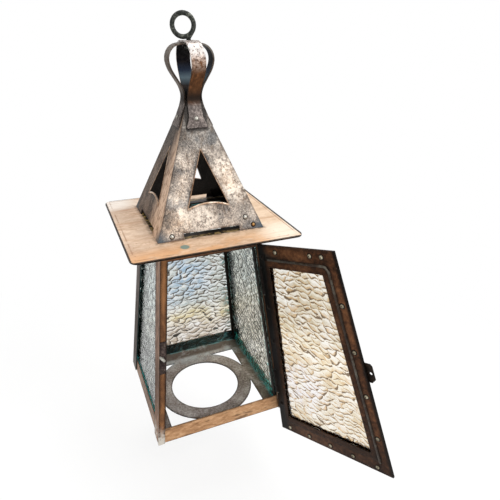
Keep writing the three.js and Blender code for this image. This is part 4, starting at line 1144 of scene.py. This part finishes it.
def pyramid_trim(screw_metal, brass_metal, shadow_seat_metal, lip_metal):
    """Screws through the corner feet on dark seats of tarnish and painted shadow, and turned lips round the
    vents.
    """
    screws = []
    brass = []
    patina = ("lantern_body", "copper_patina")
    steel = ("lantern_body", "rivet_metal")
    for side in range(len(SIDES)):
        turn = side * math.pi / 2
        if side in SCREWED_FACES:
            screws.append(on_face(-SCREW_REACH, SCREW_RISE, turn))
            screws.append(on_face(EXTRA_SCREW_REACH, EXTRA_SCREW_RISE, turn))
            brass.append(on_face(BRASS_SCREW_REACH, SCREW_RISE, turn))
        arch = []
        for step in range(ARC_STEPS + 1):
            share = -1 + 2 * step / ARC_STEPS
            rise = VENT_SILL + VENT_RISE * (1 - share * share)
            arch.append(on_face(share * VENT_HALF, rise, turn)[0])
        apex, outward = on_face(0, VENT_SILL + VENT_HEIGHT, turn)
        sides = [arch[0], apex, arch[-1]]
        moulding(f"vent_sill_{side}", arch, outward, SILL_ROD, lip_metal, *patina)
        moulding(f"vent_lip_{side}", sides, outward, LIP_ROD, lip_metal, *patina)
    rivets("foot_screws", screws, SCREW_HEAD, screw_metal, *steel)
    rivets("foot_screw_shadow_seats", screws + brass, SCREW_SHADOW_SEAT, shadow_seat_metal, *patina)
    rivets("foot_screws_brass", brass, BRASS_HEAD, brass_metal, *steel)


def roof_rim(metal):
    """Rolled edge round the roof sheet, dark as painted shade under the hem."""
    straight = roof_high.x - RIM_INSET - ROOF_CORNER
    level = roof_low.z + RIM_RISE
    path = []
    for side in range(len(SIDES)):
        turn = Matrix.Rotation(side * math.pi / 2, 3, "Z")
        for step in range(ARC_STEPS + 1):
            angle = math.pi / 2 * step / ARC_STEPS
            along_x = straight + ROOF_CORNER * math.cos(angle)
            along_y = straight + ROOF_CORNER * math.sin(angle)
            path.append(turn @ Vector((along_x, along_y, level)))
    body = ("lantern_body", "copper_roof")
    moulding("roof_rim", path, UP, RIM_ROD, metal, *body, full=True)


def catch_rivets(metal):
    """Rivets of the catch plate on the left front post."""
    places = []
    for height in CATCH_RIVETS:
        x = -half_at(height) + CATCH_RIVET_INSET
        places.append((on_front(x, height, CATCH_RIVET_OUT), front_out))
    rivets("catch_rivets", places, CATCH_HEAD, metal, "lantern_body", "rivet_metal")


# Lights, floor and camera

def lamp(name, offset, size, power):
    data = bpy.data.lights.new(name, "AREA")
    data.shape = "DISK"
    data.size = size
    data.energy = power
    made = link(name, data)
    made.location = UP * (base_level + LAMP_AIM) + Vector(offset)
    made.rotation_euler = (-Vector(offset)).to_track_quat("-Z", "Y").to_euler()


def backdrop():
    """White surroundings for the rays that see them, and a softer level for lighting the object."""
    world = bpy.data.worlds.new("studio")
    world.use_nodes = True
    bpy.context.scene.world = world
    sky = Nodes(world.node_tree)
    strength = sky.add("ShaderNodeMapRange", sky.seen_rays())
    sky.plug(strength, To_Min=WORLD_STRENGTH, To_Max=1.0)
    sky.plug(sky.tree.nodes["Background"], Color=WHITE, Strength=strength.outputs["Result"])


def floor():
    """A pale floor that keeps the shadow near the lantern and turns white away from it."""
    mesh = bmesh.new()
    bmesh.ops.create_grid(mesh, x_segments=1, y_segments=1, size=FLOOR_SIZE / 2)
    made = new_piece("floor", mesh)
    made.location = (0, 0, base_level - FLOOR_DROP)
    paint = Coat("floor_paint")
    paint.set(Base_Color=FLOOR_TONE, Roughness=FLOOR_ROUGHNESS)
    glow = paint.add("ShaderNodeEmission", WHITE).outputs[0]
    away = paint.vector("LENGTH", paint.place)
    level = paint.span(away, *GLOW_BAND, FLOOR_GLOW, 1.0)
    paint.overlay(paint.both(paint.seen_rays(), level), glow)
    made.data.materials.append(paint.material)


def camera():
    data = bpy.data.cameras.new("camera")
    data.lens = CAMERA_LENS
    data.sensor_width = SENSOR
    made = link("camera", data)
    made.location = CAMERA_PLACE
    made.rotation_euler = [math.radians(angle) for angle in CAMERA_ANGLES]
    bpy.context.scene.camera = made


bpy.context.scene.view_settings.view_transform = "Standard"
camera()
backdrop()
floor()
for lamp_name, settings in LAMPS.items():
    lamp(lamp_name, *settings)

# Metal finishes
post_copper = post_finish()
base_copper = rail_finish("base_copper", BASE_RAIL, BASE_INNER, BASE_BLOOM, stretch=ALONG_RAIL, fine=320,
                          edge_share=0.85, rough=(0.32, 0.5))
# Side rails: real verdigris inside, brightened as painted light
side_copper = rail_finish("side_copper", SIDE_RAIL, SIDE_INNER_LIT, SIDE_BLOOM_LIT, stretch=ALONG_RAIL,
                          edge_share=0.95, metallic=0.15)
# Top rails, near-black inside as painted shade under the roof
top_copper = rail_finish("top_copper", TOP_RAIL, inner=NEAR_BLACK)
door_copper = door_finish()
dark_copper = aged("dark_copper", DARK, metallic=0.3, shine=0.08).done()
lip_copper = aged("lip_copper", LIP, edge_share=0.0).done()
bead_copper = aged("bead_copper", BEAD, edge_share=0.0, rough=(0.28, 0.45)).done()
rivet_metal = aged("rivet_metal", STEEL, metallic=0.7, edge_share=0.3).done()
dull_metal = aged("dull_metal", DULL_STEEL, metallic=0.7, edge_share=0.3).done()
brass_metal = aged("brass_metal", BRASS, metallic=0.7).done()
forged_iron = aged("forged_iron", IRON, coarse=120, fine=520, share=0.55, edge_share=0.0, rough=(0.5, 0.75),
                   grain=0.0004).done()

# Metal pieces that stand for the solids
for side in SIDES:
    dressed(f"base_rail_{side}", side_copper if side in ("left", "right") else base_copper)
    dressed(f"top_rail_{side}", top_copper)
    dressed(f"strap_rivet_{side}", rivet_metal)
for corner in CORNERS:
    dressed(f"post_{corner}", post_copper)
    dressed(f"glazing_bead_{corner}", dark_copper)
    dressed(f"pyramid_cleat_{corner}", dark_copper)
dressed("lamp_ring_plate", plate_finish())
dressed("roof_plate", roof_finish())
dressed("vent_pyramid", pyramid_finish())
dressed("strap_front_back", strap_finish("strap_copper", STRAP, WORN_PINK, CROWN_HIGHLIGHT, shine=0.12))
strap_grey = strap_finish("strap_grey", STRAP_GREY, WORN_GREY, GREY_CROWN_HIGHLIGHT, metallic=0.1, shine=0.02)
dressed("strap_left_right", strap_grey)
dressed("eye_washer", dark_copper)
dressed("hanging_eye", forged_iron, ease=0.0)
dressed("catch_plate", aged("catch_copper", CATCH, coarse=90, fine=420, metallic=0.3, shine=0.08).done())
dressed("turn_button", rivet_metal)
for place in ("upper", "lower"):
    dressed(f"hinge_post_leaf_{place}", dark_copper)
    dressed(f"hinge_pin_{place}", forged_iron)
    dressed(f"hinge_door_leaf_{place}", dark_copper)
dressed("door_frame", door_copper)
dressed("door_retainer", door_copper)
dressed("hasp_plate", dark_copper)

# Panes, of which the left one has its rolled face outside
back_patch = (Vector(BACK_PATCH) + UP * base_level, BACK_PATCH_RADIUS, BACK_PATCH_TONE)
door_patch = (on_door(*DOOR_PATCH, INNER_FACE), DOOR_PATCH_RADIUS, DOOR_PATCH_TONE)
back_glass = glass_finish("back_glass", patch=back_patch, **BACK_GLASS)
door_glass = glass_finish("door_glass", patch=door_patch, **DOOR_GLASS)
pane("glass_left", glass_finish("left_glass", **LEFT_GLASS), SIDE_PILLOW, seed=3, way=TO_LEFT)
pane("glass_right", glass_finish("right_glass", **RIGHT_GLASS), SIDE_PILLOW, seed=5, way=TO_LEFT)
pane("glass_back", back_glass, BACK_PILLOW, seed=8, way=TO_FRONT)
pane("door_glass", door_glass, DOOR_PILLOW, seed=13, way=-door_out)

# Fasteners and trim that the solids leave out
door_rivets(dull_metal, dark_copper)
door_bead(bead_copper)
pyramid_trim(rivet_metal, brass_metal, dark_copper, lip_copper)
# The roof's rim, dark as painted shade under the hem
roof_rim(aged("rim_shade_copper", RIM_SHADE, edge_share=0.0, shine=0.08).done())
catch_rivets(bead_copper)
